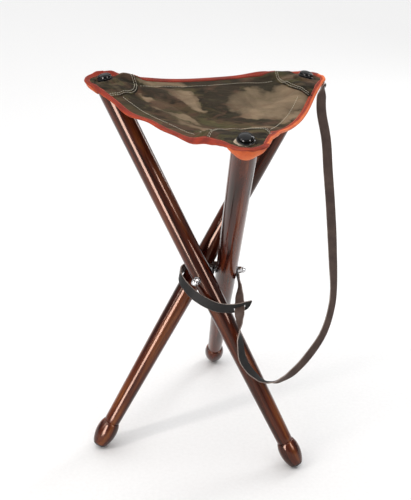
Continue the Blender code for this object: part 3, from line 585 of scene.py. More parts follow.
SLOT_LENGTH, SLOT_HEIGHT, SLOT_DEPTH = 0.0166, 0.0052, 0.018
RIVET_STEM_R, RIVET_HALF = 0.0016, 0.0062  # the stem reaches RIVET_HALF to both heads
STRAP_RING = (
    (-0.5, 0.28), (-0.47, 0.5), (-0.30, 0.52), (0.0, 0.53), (0.30, 0.52), (0.47, 0.5), (0.5, 0.28),
    (0.5, -0.28), (0.47, -0.5), (0.30, -0.5), (0.0, -0.5), (-0.30, -0.5), (-0.47, -0.5), (-0.5, -0.28),
)
STRAP_PICKS = [2, 0, 0, 0, 0, 2, 2, 2, 1, 1, 1, 1, 2, 2]  # brown on top, grey below, cut leather at the edges


def smooth_route(route, step):
    """Even points along a smooth curve through a route, each with the strap's facing direction."""
    rows = [Vector(row[:3]) for row in route]
    looks = [Vector(row[3:]).normalized() for row in route]
    rows = [rows[0] * 2 - rows[1], *rows, rows[-1] * 2 - rows[-2]]
    fine = []
    for k in range(1, len(rows) - 2):
        before, here, ahead, beyond = rows[k - 1 : k + 3]
        for part in range(12):
            t = part / 12
            bend = (2 * before - 5 * here + 4 * ahead - beyond) * t**2
            bend += (3 * here - before - 3 * ahead + beyond) * t**3
            turn = t * t * (3 - 2 * t)
            fine.append((here + ((ahead - before) * t + bend) / 2, looks[k - 1].lerp(looks[k], turn)))
    fine.append((rows[-2], looks[-1]))
    walked = walk([p for p, _ in fine])
    count = round(walked[-1] / step)
    found = []
    for k in range(count + 1):
        i, t = station(walked, walked[-1] * k / count)
        found.append(tuple(a.lerp(b, t) for a, b in zip(fine[i], fine[i + 1])))
    return found, walked[-1]


def strap_piece(name, route, step, taper=0.0):
    """Flat strap with rounded edges: brown grain side, grey flesh side, pale cut edges."""
    rows, length = smooth_route(route, step)
    sections, centres = [], []
    for k, (place, face) in enumerate(rows):
        tangent = (rows[min(k + 1, len(rows) - 1)][0] - rows[max(k - 1, 0)][0]).normalized()
        across = tangent.cross(face).normalized()
        face = across.cross(tangent).normalized()
        left = length * (1 - k / (len(rows) - 1))
        wide = STRAP_WIDTH
        if left < taper:
            rounding = math.sin(left / taper * math.pi / 2) ** 0.9
            wide *= TIP_WIDTH_SHARE + (1 - TIP_WIDTH_SHARE) * rounding
        wide *= 1.0 + 0.010 * noise.noise(place * 30.0)
        offset = (STRAP_WIDTH - wide) * 0.32 if left < taper else 0.0
        ripple = 0.0002 * noise.noise(place * 28.0 + Vector((5, 1, 3)))
        centre = place + face * ripple + across * offset
        sections.append([centre + across * (a * wide) + face * (b * STRAP_THICK) for a, b in STRAP_RING])
        centres.append(centre)
    picks = STRAP_PICKS * (len(sections) - 1) + [2, 2]
    piece = sweep(name, sections, [BROWN, GREY, CUT], picks)
    crisp(piece, 50.0)
    return piece, centres


def cut_slot(noose):
    """The slot that the run passes through, with cut leather on its walls."""
    centre = Vector(RUN[CROSSING][:3])
    along = (Vector(RUN[CROSSING + 1][:3]) - Vector(RUN[CROSSING - 1][:3])).normalized()
    across = along.cross(Vector(RUN[CROSSING][3:])).normalized()
    bpy.ops.mesh.primitive_cube_add(size=1.0)
    slot = bpy.context.active_object
    sides = (across * SLOT_LENGTH, along * SLOT_DEPTH, across.cross(along) * SLOT_HEIGHT)
    slot.data.transform(Matrix.Translation(centre) @ Matrix(sides).transposed().to_4x4())
    slot.data.materials.append(CUT)
    cut = noose.modifiers.new("slot", "BOOLEAN")
    cut.operation, cut.solver, cut.object = "DIFFERENCE", "EXACT", slot
    cut.material_mode = "TRANSFER"
    graph = bpy.context.evaluated_depsgraph_get()
    noose.data = bpy.data.meshes.new_from_object(noose.evaluated_get(graph))
    noose.modifiers.clear()
    bpy.data.objects.remove(slot, do_unlink=True)


def make_strap():
    run, centres = strap_piece("strap_run", RUN, RUN_STEP)
    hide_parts("carry_strap")
    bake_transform(run)
    noose, centres = strap_piece("strap_noose_band", NOOSE, NOOSE_STEP, TIP_LENGTH)
    cut_slot(noose)
    dress(noose, "strap_leather", "hub", "strap_noose")


def make_rivet():
    """Two low domed heads on a thin stem, through the strap's upper end."""
    low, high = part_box("strap_rivet")
    stem, half = RIVET_STEM_R, RIVET_HALF
    head = [(0.0, 0.0017), (0.0014, 0.0016), (0.0028, 0.0011), (0.0037, 0.0004), (0.0040, 0.0)]
    profile = [(r, z + half) for r, z in head] + [(stem, half), (stem, -half)]
    profile += [(r, -z * 0.6 - half) for r, z in reversed(head)]
    turn = Vector((0, 0, 1)).rotation_difference(Vector(RUN[0][3:]).normalized()).to_matrix().to_4x4()
    rivet = lathe("strap_rivet_turned", profile, DULL, Matrix.Translation((low + high) / 2) @ turn, 24)
    crisp(rivet)
    dress(rivet, "plated_steel", "right_leg", "strap_rivet")


# ---------------------------------------------------------------- legs, feet and hub hardware

NECK = -BELOW_HUB + FOOT_LENGTH
# Radii of the foot's bulb, at shares of its length from the neck down
FOOT_PROFILE = (
    (0.0, 0.0128), (0.03, 0.0136), (0.10, 0.0148), (0.20, 0.0159), (0.32, 0.0165), (0.44, 0.0166),
    (0.56, 0.0162), (0.68, 0.0152), (0.80, 0.0138), (0.90, 0.0122), (1.0, 0.0102),
)
LEG_ROWS, FOOT_ROWS, LEG_SIDES = 90, 40, 56
GROOVE_DEPTH, GROOVE_EDGE = 0.0006, 0.0002
CUT_DEPTH = 0.012  # how far down from a leg's end the mesh is sheared to make the sloping top


def leg_radius(z):
    """Radius of a turned leg at a height in its own frame."""
    if z >= 0.0:
        return LEG_R_HUB + (LEG_R_TOP - LEG_R_HUB) * min(z / (ABOVE_HUB * 0.9), 1.0)
    if z >= NECK:
        return LEG_R_HUB + (LEG_R_NECK - LEG_R_HUB) * (z / NECK) ** 1.3
    return float(np.interp((NECK - z) / FOOT_LENGTH, *zip(*FOOT_PROFILE)))


def make_leg(side):
    """A turned leg with a groove where its foot starts and a sloping top."""
    foot_end = -BELOW_HUB + PAD_THICK + GAP
    step = (ABOVE_HUB - 0.001 - NECK) / LEG_ROWS
    heights = [ABOVE_HUB - 0.0004 - k * step for k in range(LEG_ROWS + 1)]
    heights = [h for h in heights if h > NECK + 0.0012]
    heights += [NECK + 0.0009, NECK + 0.0003, NECK, NECK - 0.0003, NECK - 0.0010]
    bulb = [NECK - FOOT_LENGTH * k / FOOT_ROWS for k in range(2, FOOT_ROWS)]
    heights += [h for h in bulb if h > foot_end + 0.0010] + [foot_end + 0.0007, foot_end + 0.0002]
    top = heights[0]
    profile = [(0.0, top), (LEG_R_TOP - 0.001, top)]
    for z in heights:
        away = abs(z - NECK)
        groove = GROOVE_DEPTH if away < 0.0002 else GROOVE_EDGE if away < 0.0007 else 0.0
        profile.append((leg_radius(z) - groove, z))
    profile += [(FOOT_END_R - 0.0002, foot_end), (0.0, foot_end)]
    leg = lathe(f"turned_leg_{side}", profile, WOOD, FRAMES[side], LEG_SIDES)
    start = ABOVE_HUB - CUT_DEPTH
    for v in leg.data.vertices:
        if v.co.z > start:
            v.co.z -= v.co.y * math.tan(END_CUT) * min((v.co.z - start) / (top - start), 1.0)
    crisp(leg, 45.0)
    dress(leg, "stained_wood", f"{side}_leg", f"leg_{side}")


def make_foot_pad(side):
    r = FOOT_END_R
    rows = [(0.0, PAD_THICK), (r - 0.0004, PAD_THICK), (r + 0.0001, PAD_THICK - 0.0003), (r + 0.0002, 0.0012)]
    rows += [(r, 0.0004), (r - 0.0005, 0.0), (0.006, 0.0), (0.0055, 0.0006), (0.0, 0.0006)]
    profile = [(radius, z - BELOW_HUB) for radius, z in rows]
    pad = lathe(f"rubber_foot_pad_{side}", profile, RUBBER, FRAMES[side], 48)
    crisp(pad)
    dress(pad, "foot_rubber", f"{side}_leg", f"foot_pad_{side}")


def stud_place(side, along):
    """On a stud, with Z out along it, along metres from the leg's axis."""
    return FRAMES[side] @ Matrix.Translation((along, 0.0, 0.0)) @ Matrix.Rotation(math.radians(90.0), 4, "Y")


def make_washer(name, side, start, node):
    r, hole, thick, edge = WASHER_R, WASHER_HOLE_R, WASHER_THICK, 0.00025
    profile = [(hole, thick), (r - edge, thick), (r, thick - edge), (r, edge), (r - edge, 0.0), (hole, 0.0)]
    ring = lathe(name, profile + profile[:1], STEEL, stud_place(side, start), 40)
    crisp(ring)
    dress(ring, "plated_steel", "hub", node)


def make_cap_nut(side):
    """Acorn nut: a chamfered hexagon, a neck and a dome."""
    corner = NUT_ACROSS / math.sqrt(3.0)
    verts, sides = [], 72
    rows = ((0.0, 0.93), (0.0004, 1.0), (NUT_HEXAGON - 0.0009, 1.0), (NUT_HEXAGON, 0.86))
    for z, share in rows:
        for k in range(sides):
            turn = math.tau * k / sides
            within = (turn + math.pi / 6) % (math.pi / 3) - math.pi / 6
            r = min(NUT_ACROSS / 2 / math.cos(within), corner * share)
            verts.append((r * math.cos(turn), r * math.sin(turn), z))
    dome = [(0.0046, NUT_HEXAGON + 0.0001), (0.00455, NUT_HEXAGON + 0.0008)]
    dome.append((NUT_DOME_R, NUT_HEXAGON + 0.0014))
    straight = NUT_LENGTH - NUT_DOME_R - 0.0001
    for turn in map(math.radians, range(0, 85, 8)):
        dome.append((NUT_DOME_R * math.cos(turn), straight + NUT_DOME_R * math.sin(turn)))
    for r, z in dome:
        verts += circle(r, z, sides)
    faces = tube_faces(len(rows) + len(dome), sides)
    place = stud_place(side, LEG_R_HUB + GAP + WASHER_THICK + GAP)
    nut = mesh_object(f"acorn_nut_{side}", verts, faces, [CHROME], None, place)
    crisp(nut, 25.0)
    dress(nut, "chrome", "hub", f"cap_nut_{side}")


# ---------------------------------------------------------------- seat's surface

EDGE_NAMES = ("right", "rear", "left")
# Bow inwards and sag of each edge's middle, and how far its lowest point is shifted along it
EDGES = {"right": (0.0110, 0.033, -0.50), "rear": (0.0065, 0.008, -0.60), "left": (0.0080, 0.024, 0.20)}
CORNER_R, RIM_RISE, DISH_DEPTH = 0.029, 0.002, 0.030
CLAMP_R, CLAMP_RISE = 0.0165, 0.0011  # the flat part of the canvas on a leg's end
BINDING_WIDTH = 0.0070
TOP_HEIGHT = TOPS["front"].z
OUTWARD = {side: math.atan2(top.y, top.x) for side, top in TOPS.items()}
CORNER_TURN = math.radians(60.0)  # half of the round corner
ARC, EDGE, RINGS = 18, 56, 64
PASSES, OVERSHOOT, LOAD = 700, 1.9, 4.0  # of the membrane's relaxation
NORMAL_STEP = 0.0015
UP = Vector((0.0, 0.0, 1.0))
# Waves of each bound edge: (where along it, how wide, rise, outward), in shares of the edge and metres
WAVES = {
    "left": ((0.10, 0.06, -0.0025, 0.0), (0.27, 0.07, -0.0035, 0.0), (0.44, 0.08, 0.0045, 0.0),
             (0.76, 0.10, -0.0080, 0.0), (0.92, 0.05, -0.0025, 0.0)),
    "right": ((0.72, 0.14, 0.0, 0.0028), (0.24, 0.05, -0.0020, 0.0)),
    "rear": ((0.22, 0.08, 0.0030, 0.0), (0.97, 0.06, 0.0050, 0.0)),
}
# Where the canvas lies flatter near a corner: (reach, how much it drops 42 mm away)
FLATTENED = {"front": (0.104, -0.0035), "right": (0.056, 0.0035), "left": (0.056, 0.0030)}
# Humps behind the rear hem, near the two rear corners: (distance from the corner, width, height)
HUMPS = {"right": (0.040, 0.022, 0.0058), "left": (0.034, 0.016, 0.0060)}


def rim_point(index, s):
    """A point of the bound edge after a corner, at a share of the way to the next corner."""
    here, ahead = TOPS[SIDES[index]], TOPS[SIDES[(index + 1) % 3]]
    bow, sag, skew = EDGES[EDGE_NAMES[index]]
    along = (ahead - here).normalized()
    normal = Vector((along.y, -along.x, 0.0))
    lowest = s + skew * s * (1.0 - s)
    point = here.lerp(ahead, s) + normal * (CORNER_R - bow * 4.0 * s * (1.0 - s))
    point.z = TOP_HEIGHT + RIM_RISE - sag * math.sin(math.pi * lowest) ** 1.4
    for at, wide, rise, outward in WAVES[EDGE_NAMES[index]]:
        share = math.exp(-(((s - at) / wide) ** 2))
        share *= 1.0 if at > 0.9 else min(s / 0.05, (1 - s) / 0.05, 1.0)
        point += normal * (outward * share) + UP * (rise * share)
    return point


def arc_point(side, turn):
    """A point of the round corner. The left one rises on its rear side."""
    angle = OUTWARD[side] + turn
    out = Vector((math.cos(angle), math.sin(angle), 0.0))
    lift = 0.0048 * math.exp(-(((turn + CORNER_TURN) / 0.75) ** 2)) if side == "left" else 0.0
    return TOPS[side] + out * CORNER_R + UP * (RIM_RISE + lift)


def rim_stations(index):
    side, following = SIDES[index], SIDES[(index + 1) % 3]
    points = [arc_point(side, CORNER_TURN * k / ARC) for k in range(ARC)]
    points += [rim_point(index, (1.0 - math.cos(math.pi * k / EDGE)) / 2) for k in range(EDGE + 1)]
    return points + [arc_point(following, -CORNER_TURN * (1 - k / ARC)) for k in range(1, ARC + 1)]


def ease(share):
    return share * share * (3 - 2 * share)


class Seat:
    """The canvas's middle surface on rays from the centre: rows are rings, columns are rim stations."""

    def __init__(self):
        rim = [p for index in range(3) for p in rim_stations(index)[:-1]]
        self.per_edge = len(rim) // 3
        self.rim = np.array([tuple(p) for p in rim])
        self.columns = len(rim)
        self.radius = np.hypot(self.rim[:, 0], self.rim[:, 1])
        self.shares = 1.0 - (1.0 - np.linspace(0.0, 1.0, RINGS + 1)) ** 1.25
        self.x = self.shares[:, None] * self.rim[None, :, 0]
        self.y = self.shares[:, None] * self.rim[None, :, 1]
        self.inward = (1.0 - self.shares[:, None]) * self.radius[None, :]
        self.relax()
        self.wrinkle()
        angle = np.unwrap(np.arctan2(self.rim[:, 1], self.rim[:, 0]))
        self.angle = np.concatenate([angle - math.tau, angle, angle + math.tau, [angle[0] + 2 * math.tau]])
        self.column_at = np.arange(3 * self.columns + 1) - self.columns

    def away(self, side):
        return np.hypot(self.x - TOPS[side].x, self.y - TOPS[side].y)

    def relax(self):
        """A membrane held at the rim and on the legs' ends, sagging under an even load."""
        x, y = self.x, self.y
        middle = TOP_HEIGHT - DISH_DEPTH
        z = middle + (self.rim[None, :, 2] - middle) * self.shares[:, None] ** 1.6
        fixed = np.zeros(x.shape, bool)
        for side in SIDES:
            top, normal = TOPS[side], NORMALS[side]
            near = self.away(side) < CLAMP_R
            flat = top.z + (CLAMP_RISE - normal.x * (x - top.x) - normal.y * (y - top.y)) / normal.z
            z[near] = flat[near]
            fixed |= near
        fixed[-1] = True
        points = np.stack([x, y], -1)
        out = np.linalg.norm(points[1:] - points[:-1], axis=-1)
        beside = np.linalg.norm(np.roll(points, -1, 1) - points, axis=-1)
        wide = np.zeros_like(beside)
        wide[:-1] += out / 2
        wide[1:] += out / 2
        arc = (beside + np.roll(beside, 1, 1)) / 2
        radial = (arc[1:] + arc[:-1]) / 2 / out
        around = wide / np.maximum(beside, 1e-5)
        around[0] = 0.0
        total = np.zeros_like(z)
        total[:-1] += radial
        total[1:] += radial
        total = np.maximum(total + around + np.roll(around, 1, 1), 1e-9)
        checker = np.add.outer(np.arange(z.shape[0]), np.arange(z.shape[1])) % 2
        halves = [(checker == k) & ~fixed for k in (0, 1)]

        def solve(z, load):
            for _ in range(PASSES):
                for half in halves:
                    pull = np.zeros_like(z)
                    pull[:-1] += radial * z[1:]
                    pull[1:] += radial * z[:-1]
                    pull += around * np.roll(z, -1, 1) + np.roll(around * z, 1, 1)
                    new = (pull - load * wide * arc) / total
                    z = np.where(half, z + OVERSHOOT * (new - z), z)
                z[0] = z[1].mean()
            return z

        slack = solve(z, 0.0)
        loaded = solve(np.where(fixed, z, slack - 0.01), LOAD)
        share = (middle - slack[0, 0]) / (loaded[0, 0] - slack[0, 0])
        self.z = slack + (loaded - slack) * share
        for side, (far, drop) in FLATTENED.items():
            away = self.away(side)
            near = ease(np.clip((far - away) / (far - 0.018), 0.0, 1.0))
            near *= np.clip(self.inward / 0.018, 0.0, 1.0)
            flat = TOP_HEIGHT + 0.0010 - drop * (away / 0.042) ** 2
            self.z = np.where(fixed, self.z, self.z + (flat - self.z) * near)

    def wrinkle(self):
        """Tension folds between the corners and slow waves, fading out at the rim and the leg ends."""
        x, y, inward = self.x, self.y, self.inward
        lift = np.zeros_like(self.z)
        fade = ease(np.clip(inward / 0.030, 0.0, 1.0))
        for index, side in enumerate(SIDES):
            away = self.away(side)
            turn = np.arctan2(y - TOPS[side].y, x - TOPS[side].x) - OUTWARD[side] - math.pi
            turn = (turn + math.pi) % math.tau - math.pi
            near = np.clip((away - CLAMP_R) / 0.020, 0.0, 1.0) * np.exp(-((away - 0.040) / 0.062) ** 2)
            folds = np.sin(turn * 9.0 + index * 1.9 + away * 22.0) + 0.6 * np.sin(turn * 15.0 - index * 2.3)
            lift += 0.0006 * near * folds
        for spot in np.ndindex(lift.shape):
            p = Vector((x[spot] * 15.0, y[spot] * 15.0, 0.3))
            q = Vector((x[spot] * 42.0 + 7.0, y[spot] * 30.0, 1.3))
            lift[spot] += (0.0030 * noise.noise(p) + 0.0011 * noise.noise(q)) * fade[spot]
        away = self.away("front")
        bend = 0.004 * np.sin(x * 55.0 + 0.6) + 0.003 * np.sin(y * 70.0 + x * 30.0)
        band = np.exp(-(((away - 0.088) / 0.026) ** 2)) * fade
        lift += 0.0019 * band * np.sin((away + bend) * math.tau / 0.0150)
        slant = x * 0.80 + y * 0.60 + 0.006 * np.sin(x * 40.0 - y * 22.0)
        band = np.exp(-(((x + 0.045) / 0.050) ** 2) - (((y - 0.010) / 0.040) ** 2)) * fade
        lift += 0.0020 * band * np.sin(slant * math.tau / 0.024)
        crest = np.exp(-((np.maximum(inward - 0.010, 0) / 0.014) ** 2))
        crest *= np.clip((inward - 0.002) / 0.007, 0.0, 1.0)
        for side, (at, wide, high) in HUMPS.items():
            other = TOPS["left" if side == "right" else "right"]
            spot = TOPS[side] + (other - TOPS[side]).normalized() * at + Vector((0.0, 0.022, 0.0))
            lift += high * crest * np.exp(-((np.hypot(x - spot.x, y - spot.y) / wide) ** 4))
        clamp = np.ones_like(self.z)
        for side in SIDES:
            clamp = np.minimum(clamp, np.clip((self.away(side) - CLAMP_R) / 0.012, 0.0, 1.0))
        self.z = self.z + lift * clamp

    def locate(self, x, y):
        """The columns on both sides of a point, its share between them, and the rim's radius there."""
        turn = math.atan2(y, x)
        while turn < self.angle[self.columns]:
            turn += math.tau
        column = float(np.interp(turn, self.angle, self.column_at))
        low = math.floor(column)
        t = column - low
        a, b = low % self.columns, (low + 1) % self.columns
        return a, b, t, self.radius[a] * (1 - t) + self.radius[b] * t

    def height(self, x, y):
        a, b, t, radius = self.locate(x, y)
        share = min(math.hypot(x, y) / radius, 1.0)
        za = float(np.interp(share, self.shares, self.z[:, a]))
        zb = float(np.interp(share, self.shares, self.z[:, b]))
        return za * (1 - t) + zb * t

    def point(self, x, y, lift):
        return Vector((x, y, self.height(x, y))) + self.normal(x, y) * lift

    def normal(self, x, y):
        e = NORMAL_STEP
        dx = (self.height(x + e, y) - self.height(x - e, y)) / (2 * e)
        dy = (self.height(x, y + e) - self.height(x, y - e)) / (2 * e)
        return Vector((-dx, -dy, 1.0)).normalized()

    def grid_normals(self):
        p = np.stack([self.x, self.y, self.z], -1)
        du = np.zeros_like(p)
        du[1:-1] = p[2:] - p[:-2]
        du[-1] = p[-1] - p[-2]
        du[0] = p[1] - p[0]
        dv = np.roll(p, -1, 1) - np.roll(p, 1, 1)
        n = np.cross(du, dv)
        n[0] = n[1].mean(0)
        n /= np.maximum(np.linalg.norm(n, axis=-1, keepdims=True), 1e-12)
        return n


SEAT = Seat()
CANVAS_HALF_THICK = 0.0006
PATCH_REACH = {"front": 0.0515, "right": 0.0390, "left": 0.0470}
PATCH_HOLE_R = 0.0028
PATCH_MARGIN = 0.0042  # from the rim to a patch's edge, under the binding
PATCH_LIFT = 0.0017
PATCH_SPOKES, PATCH_RINGS = 96, 26
SEWING_INSETS = (0.0024, 0.0056)
HEM_INSET = 0.0205
# Pitch, length and radius of the stitches
PATCH_STITCH = (0.0036, 0.0027, 0.00036)
HEM_STITCH = (0.0040, 0.0029, 0.00033)
BINDING_STITCH = (0.0036, 0.0026, 0.00026)
FOLD_OUT, FOLD_UP = 0.0017, 0.0019  # half axes of the binding's fold round the rim
POCKET_TURN, POCKET_DEPTH = math.radians(64.0), 0.0112
POCKET_STATIONS, POCKET_ROWS = 61, 12
POCKET_BELLY, POCKET_PLEAT = 0.0034, 0.0006
POCKET_OUTSIDE, POCKET_INSIDE = 0.0008, 0.0006


def sector_columns(index):
    """Rim columns of the sector round a corner, from one edge's middle to the next edge's middle."""
    half = SEAT.per_edge // 2
    start = index * SEAT.per_edge - half
    return [c % SEAT.columns for c in range(start, start + 2 * half + (SEAT.per_edge % 2) + 1)]


def join_sector(piece, side, slot, *nodes):
    """Hide the CAD nodes that a sector's piece stands for, and bake its place into its mesh."""
    if nodes:
        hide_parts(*nodes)
    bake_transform(piece)


def make_canvas(index):
    """One sector of the seat's cloth: two sheets closed by walls along the rim and the two cuts."""
    side = SIDES[index]
    columns = sector_columns(index)
    normals = SEAT.grid_normals()
    verts, shade = [], []
    for sign in (1, -1):
        spots = [(row, c) for row in range(1, RINGS + 1) for c in columns] + [(0, 0)]
        for spot in spots:
            n = normals[spot]
            middle = Vector((SEAT.x[spot], SEAT.y[spot], SEAT.z[spot]))
            verts.append(middle + Vector(n) * CANVAS_HALF_THICK * sign)
            shade.append(n * sign)
    wide = len(columns)
    sheet = RINGS * wide + 1
    faces = []
    for first in (0, sheet):
        faces += [(first + sheet - 1, first + k, first + k + 1) for k in range(wide - 1)]
        for row in range(RINGS - 1):
            for k in range(wide - 1):
                a = first + row * wide + k
                faces.append((a, a + 1, a + 1 + wide, a + wide))
    last = (RINGS - 1) * wide
    faces += [(last + k, last + k + 1, sheet + last + k + 1, sheet + last + k) for k in range(wide - 1)]
    for k in (0, wide - 1):
        faces.append((sheet - 1, k, sheet + k, 2 * sheet - 1))
        for a in range(k, last + k, wide):
            faces.append((a, a + wide, sheet + a + wide, sheet + a))
    piece = mesh_object(f"canvas_{side}", verts, faces, [CANVAS])
    piece.data.normals_split_custom_set_from_vertices([tuple(n) for n in shade])
    join_sector(piece, side, "camouflage_canvas", *(["seat_panel"] if index == 0 else []))
    return piece, sum(f.area for f in piece.data.polygons) / 2


def around(side, turn, away):
    """The place at a distance from a leg's end in one direction."""
    return TOPS[side].x + math.cos(turn) * away, TOPS[side].y + math.sin(turn) * away


def reach_to_rim(side, turn, margin):
    """How far it is from a leg's end to a margin inside the rim."""
    low, far = 0.005, 0.09
    for _ in range(20):
        mid = (low + far) / 2
        x, y = around(side, turn, mid)
        if math.hypot(x, y) < SEAT.locate(x, y)[3] - margin:
            low = mid
        else:
            far = mid
    return low


def patch_reach(side, turn):
    """How far a corner patch reaches in one direction, and whether the binding stops it there."""
    reach = PATCH_REACH[side]
    if side == "right":
        reach += 0.020 * (1.0 + math.cos(turn - OUTWARD[side]))
    if side == "front":
        reach += 0.0085 * max(0.0, -math.cos(turn - OUTWARD[side] + 0.12)) ** 5
    rim = reach_to_rim(side, turn, PATCH_MARGIN)
    return min(reach * (1.0 + 0.03 * math.sin(3 * turn)), rim), rim <= reach


def make_patch(index):
    """Second layer of canvas over a corner, its free edge turned under and sewn down twice."""
    side = SIDES[index]
    spokes, rings = PATCH_SPOKES, PATCH_RINGS
    verts, skirt, faces = [], [], []
    for k in range(spokes):
        turn = math.tau * k / spokes
        reach, at_rim = patch_reach(side, turn)
        for ring in range(rings + 1):
            away = PATCH_HOLE_R + (reach - PATCH_HOLE_R) * (ring / rings)
            x, y = around(side, turn, away)
            lift = PATCH_LIFT + 0.00025 * noise.noise(Vector((x * 160, y * 160, 2.2)))
            if not at_rim:
                lift += 0.0002 * math.sin(min((reach - away) / 0.0035, 1.0) * math.pi)
                lift -= 0.0008 * max(0.0, 1 - (reach - away) / 0.0011)
            verts.append(SEAT.point(x, y, lift))
        skirt.append(SEAT.point(*around(side, turn, reach), 0.0002))
    for k in range(spokes):
        a, b = k * (rings + 1), (k + 1) % spokes * (rings + 1)
        faces += [(a + ring, a + ring + 1, b + ring + 1, b + ring) for ring in range(rings)]
    first = len(verts)
    for k in range(spokes):
        j = (k + 1) % spokes
        faces.append((k * (rings + 1) + rings, first + k, first + j, j * (rings + 1) + rings))
    piece = mesh_object(f"patch_{side}", verts + skirt, faces, [PATCH])
    join_sector(piece, side, "patch_canvas", f"corner_patch_{side}")
    for row, inset in enumerate(SEWING_INSETS):
        line, ups = [], []
        for k in range(-64, 65):
            turn = OUTWARD[side] + math.pi + math.radians(1.4) * k
            reach, at_rim = patch_reach(side, turn)
            if not at_rim:
                x, y = around(side, turn, reach - inset)
                line.append(SEAT.point(x, y, PATCH_LIFT))
                ups.append(SEAT.normal(x, y))
        thread = stitches(f"patch_stitches_{side}_{row}", line, ups, *PATCH_STITCH, THREAD)
        join_sector(thread, side, "patch_canvas")


def make_hem(index):
    """The stitch line that runs inside each edge, from patch to patch."""
    side = SIDES[index]
    top = TOPS[side].to_2d()
    runs = [[]]
    for c in sector_columns(index):
        before, after = SEAT.rim[(c - 1) % SEAT.columns], SEAT.rim[(c + 1) % SEAT.columns]
        along = Vector((after[0] - before[0], after[1] - before[1])).normalized()
        point = Vector(SEAT.rim[c][:2]) + Vector((-along.y, along.x)) * HEM_INSET
        away = point - top
        if away.length < patch_reach(side, math.atan2(away.y, away.x))[0] + 0.0005:
            runs.append([])
        else:
            runs[-1].append(point)
    for k, points in enumerate(points for points in runs if len(points) > 3):
        line = [SEAT.point(p.x, p.y, 0.0006) for p in points]
        ups = [SEAT.normal(p.x, p.y) for p in points]
        thread = stitches(f"hem_stitches_{side}_{k}", line, ups, *HEM_STITCH, THREAD)
        join_sector(thread, side, "camouflage_canvas")


def binding_ring(c):
    """The binding's outline at a rim column, a point on its sewing line, and the way up there."""
    rim = Vector(SEAT.rim[c])
    along = (Vector(SEAT.rim[(c + 1) % SEAT.columns]) - Vector(SEAT.rim[(c - 1) % SEAT.columns])).normalized()
    flat = Vector((along.y, -along.x, 0.0)).normalized()
    wide = BINDING_WIDTH + 0.0003 * noise.noise(rim * 55.0)
    rows = ((wide, 0.0008), (wide - 0.0006, 0.0016), (wide * 0.72, 0.0020))
    rows += ((wide * 0.5, 0.0020), (wide * 0.25, 0.0020), (0.0, 0.0019))
    flange = []
    for depth, _ in rows:
        p = rim - flat * depth
        flange.append(Vector((p.x, p.y, SEAT.height(p.x, p.y))))
    inner = rim - flat * (wide * 0.5 + 0.001)
    slope = (flange[3].z - SEAT.height(inner.x, inner.y)) / 0.001
    up = (UP - flat * slope).normalized()
    out = along.cross(up).normalized()
    out = out if out.dot(flat) > 0 else -out
    ring = [p + up * h for p, (_, h) in zip(flange, rows)]
    for turn in map(math.radians, (60, 30, 0, -30, -60)):
        ring.append(flange[-1] + out * (FOLD_OUT * math.cos(turn)) + up * (FOLD_UP * math.sin(turn)))
    ring += [p - up * h for p, (_, h) in reversed(list(zip(flange, rows)))]
    return ring, flange[2], up


def make_binding(index):
    """Orange leather folded over the rim, sewn through with thread of its own colour. Its faces take lit and
    shaded copies of the leather: darker reds on the top and on the left and rear edges are painted shade, the
    top's red partly its own tone.
    """
    side = SIDES[index]
    columns = sector_columns(index)
    rings, sewing, ups = zip(*[binding_ring(c) for c in columns])
    tones = []
    # Lit and shaded copies of the orange leather, picked per face and per edge: the right edge is painted
    # lit, with orange on its lip and the outer part of its top, and the other edges are painted in shade,
    # with the darker red on top and the darker orange below.
    for c in columns[:-1]:
        lit_edge = ARC <= c < SEAT.per_edge
        tones += ([2, 2, 1, 2, 0, 0] if lit_edge else [1] * 6) + [0 if lit_edge else 2] * (len(rings[0]) - 6)
    piece = sweep(f"binding_{side}", rings, [ORANGE, DARK_RED_WITH_SHADE, ORANGE_PAINTED_SHADE], tones + [0, 0])
    crisp(piece, 70.0)
    join_sector(piece, side, "orange_leather", f"edge_binding_{EDGE_NAMES[index]}")
    for level, sign in (("upper", 1), ("lower", -1)):
        name = f"binding_stitches_{level}_{side}"
        line = [p + up * (FOLD_UP * sign) for p, up in zip(sewing, ups)]
        faced = [up * sign for up in ups]
        thread = stitches(name, line, faced, *BINDING_STITCH, ORANGE_THREAD)
        join_sector(thread, side, "orange_leather")


def make_pocket(side):
    """Leather cup under a corner: a crescent from the binding down round the outside of the leg's end."""
    axis = (FRAMES[side].to_3x3() @ UP).normalized()
    top = TOPS[side]
    sections = []
    for k in range(POCKET_STATIONS):
        share = k / (POCKET_STATIONS - 1) * 2 - 1
        turn = OUTWARD[side] + POCKET_TURN * share
        out = Vector((math.cos(turn), math.sin(turn), 0.0))
        rim = Vector((top.x, top.y, 0.0)) + out * (reach_to_rim(side, turn, 0.0) - 0.0010)
        rim.z = SEAT.height(rim.x, rim.y) - 0.0018
        deep = max(1.0 - abs(share) ** 2.8, 0.02) ** 0.65
        round_leg = (out - axis * out.dot(axis)).normalized()
        low = rim.lerp(top - axis * POCKET_DEPTH + round_leg * (LEG_R_TOP + 0.0010), deep)
        low.z = min(low.z, rim.z - 0.0002)
        puff = POCKET_BELLY + POCKET_PLEAT * math.sin(share * 13.0)
        column = []
        for row in range(POCKET_ROWS + 1):
            t = row / POCKET_ROWS
            column.append(rim.lerp(low, t) + out * (puff * math.sin(math.pi * t) * deep))
        outside = [p + out * POCKET_OUTSIDE for p in column]
        sections.append(outside + [p - out * POCKET_INSIDE for p in reversed(column)])
    piece = sweep(f"pocket_{side}", sections, [ORANGE])
    crisp(piece, 60.0)
    dress(piece, "orange_leather", f"{side}_leg", f"corner_pocket_{side}")


# ---------------------------------------------------------------- screw caps

SCREW_R, CAP_R, CAP_RISE = 0.0030, 0.0105, 0.0056
LOBE_TOWARDS = math.radians(-158.0)  # where the raw leather sticks out


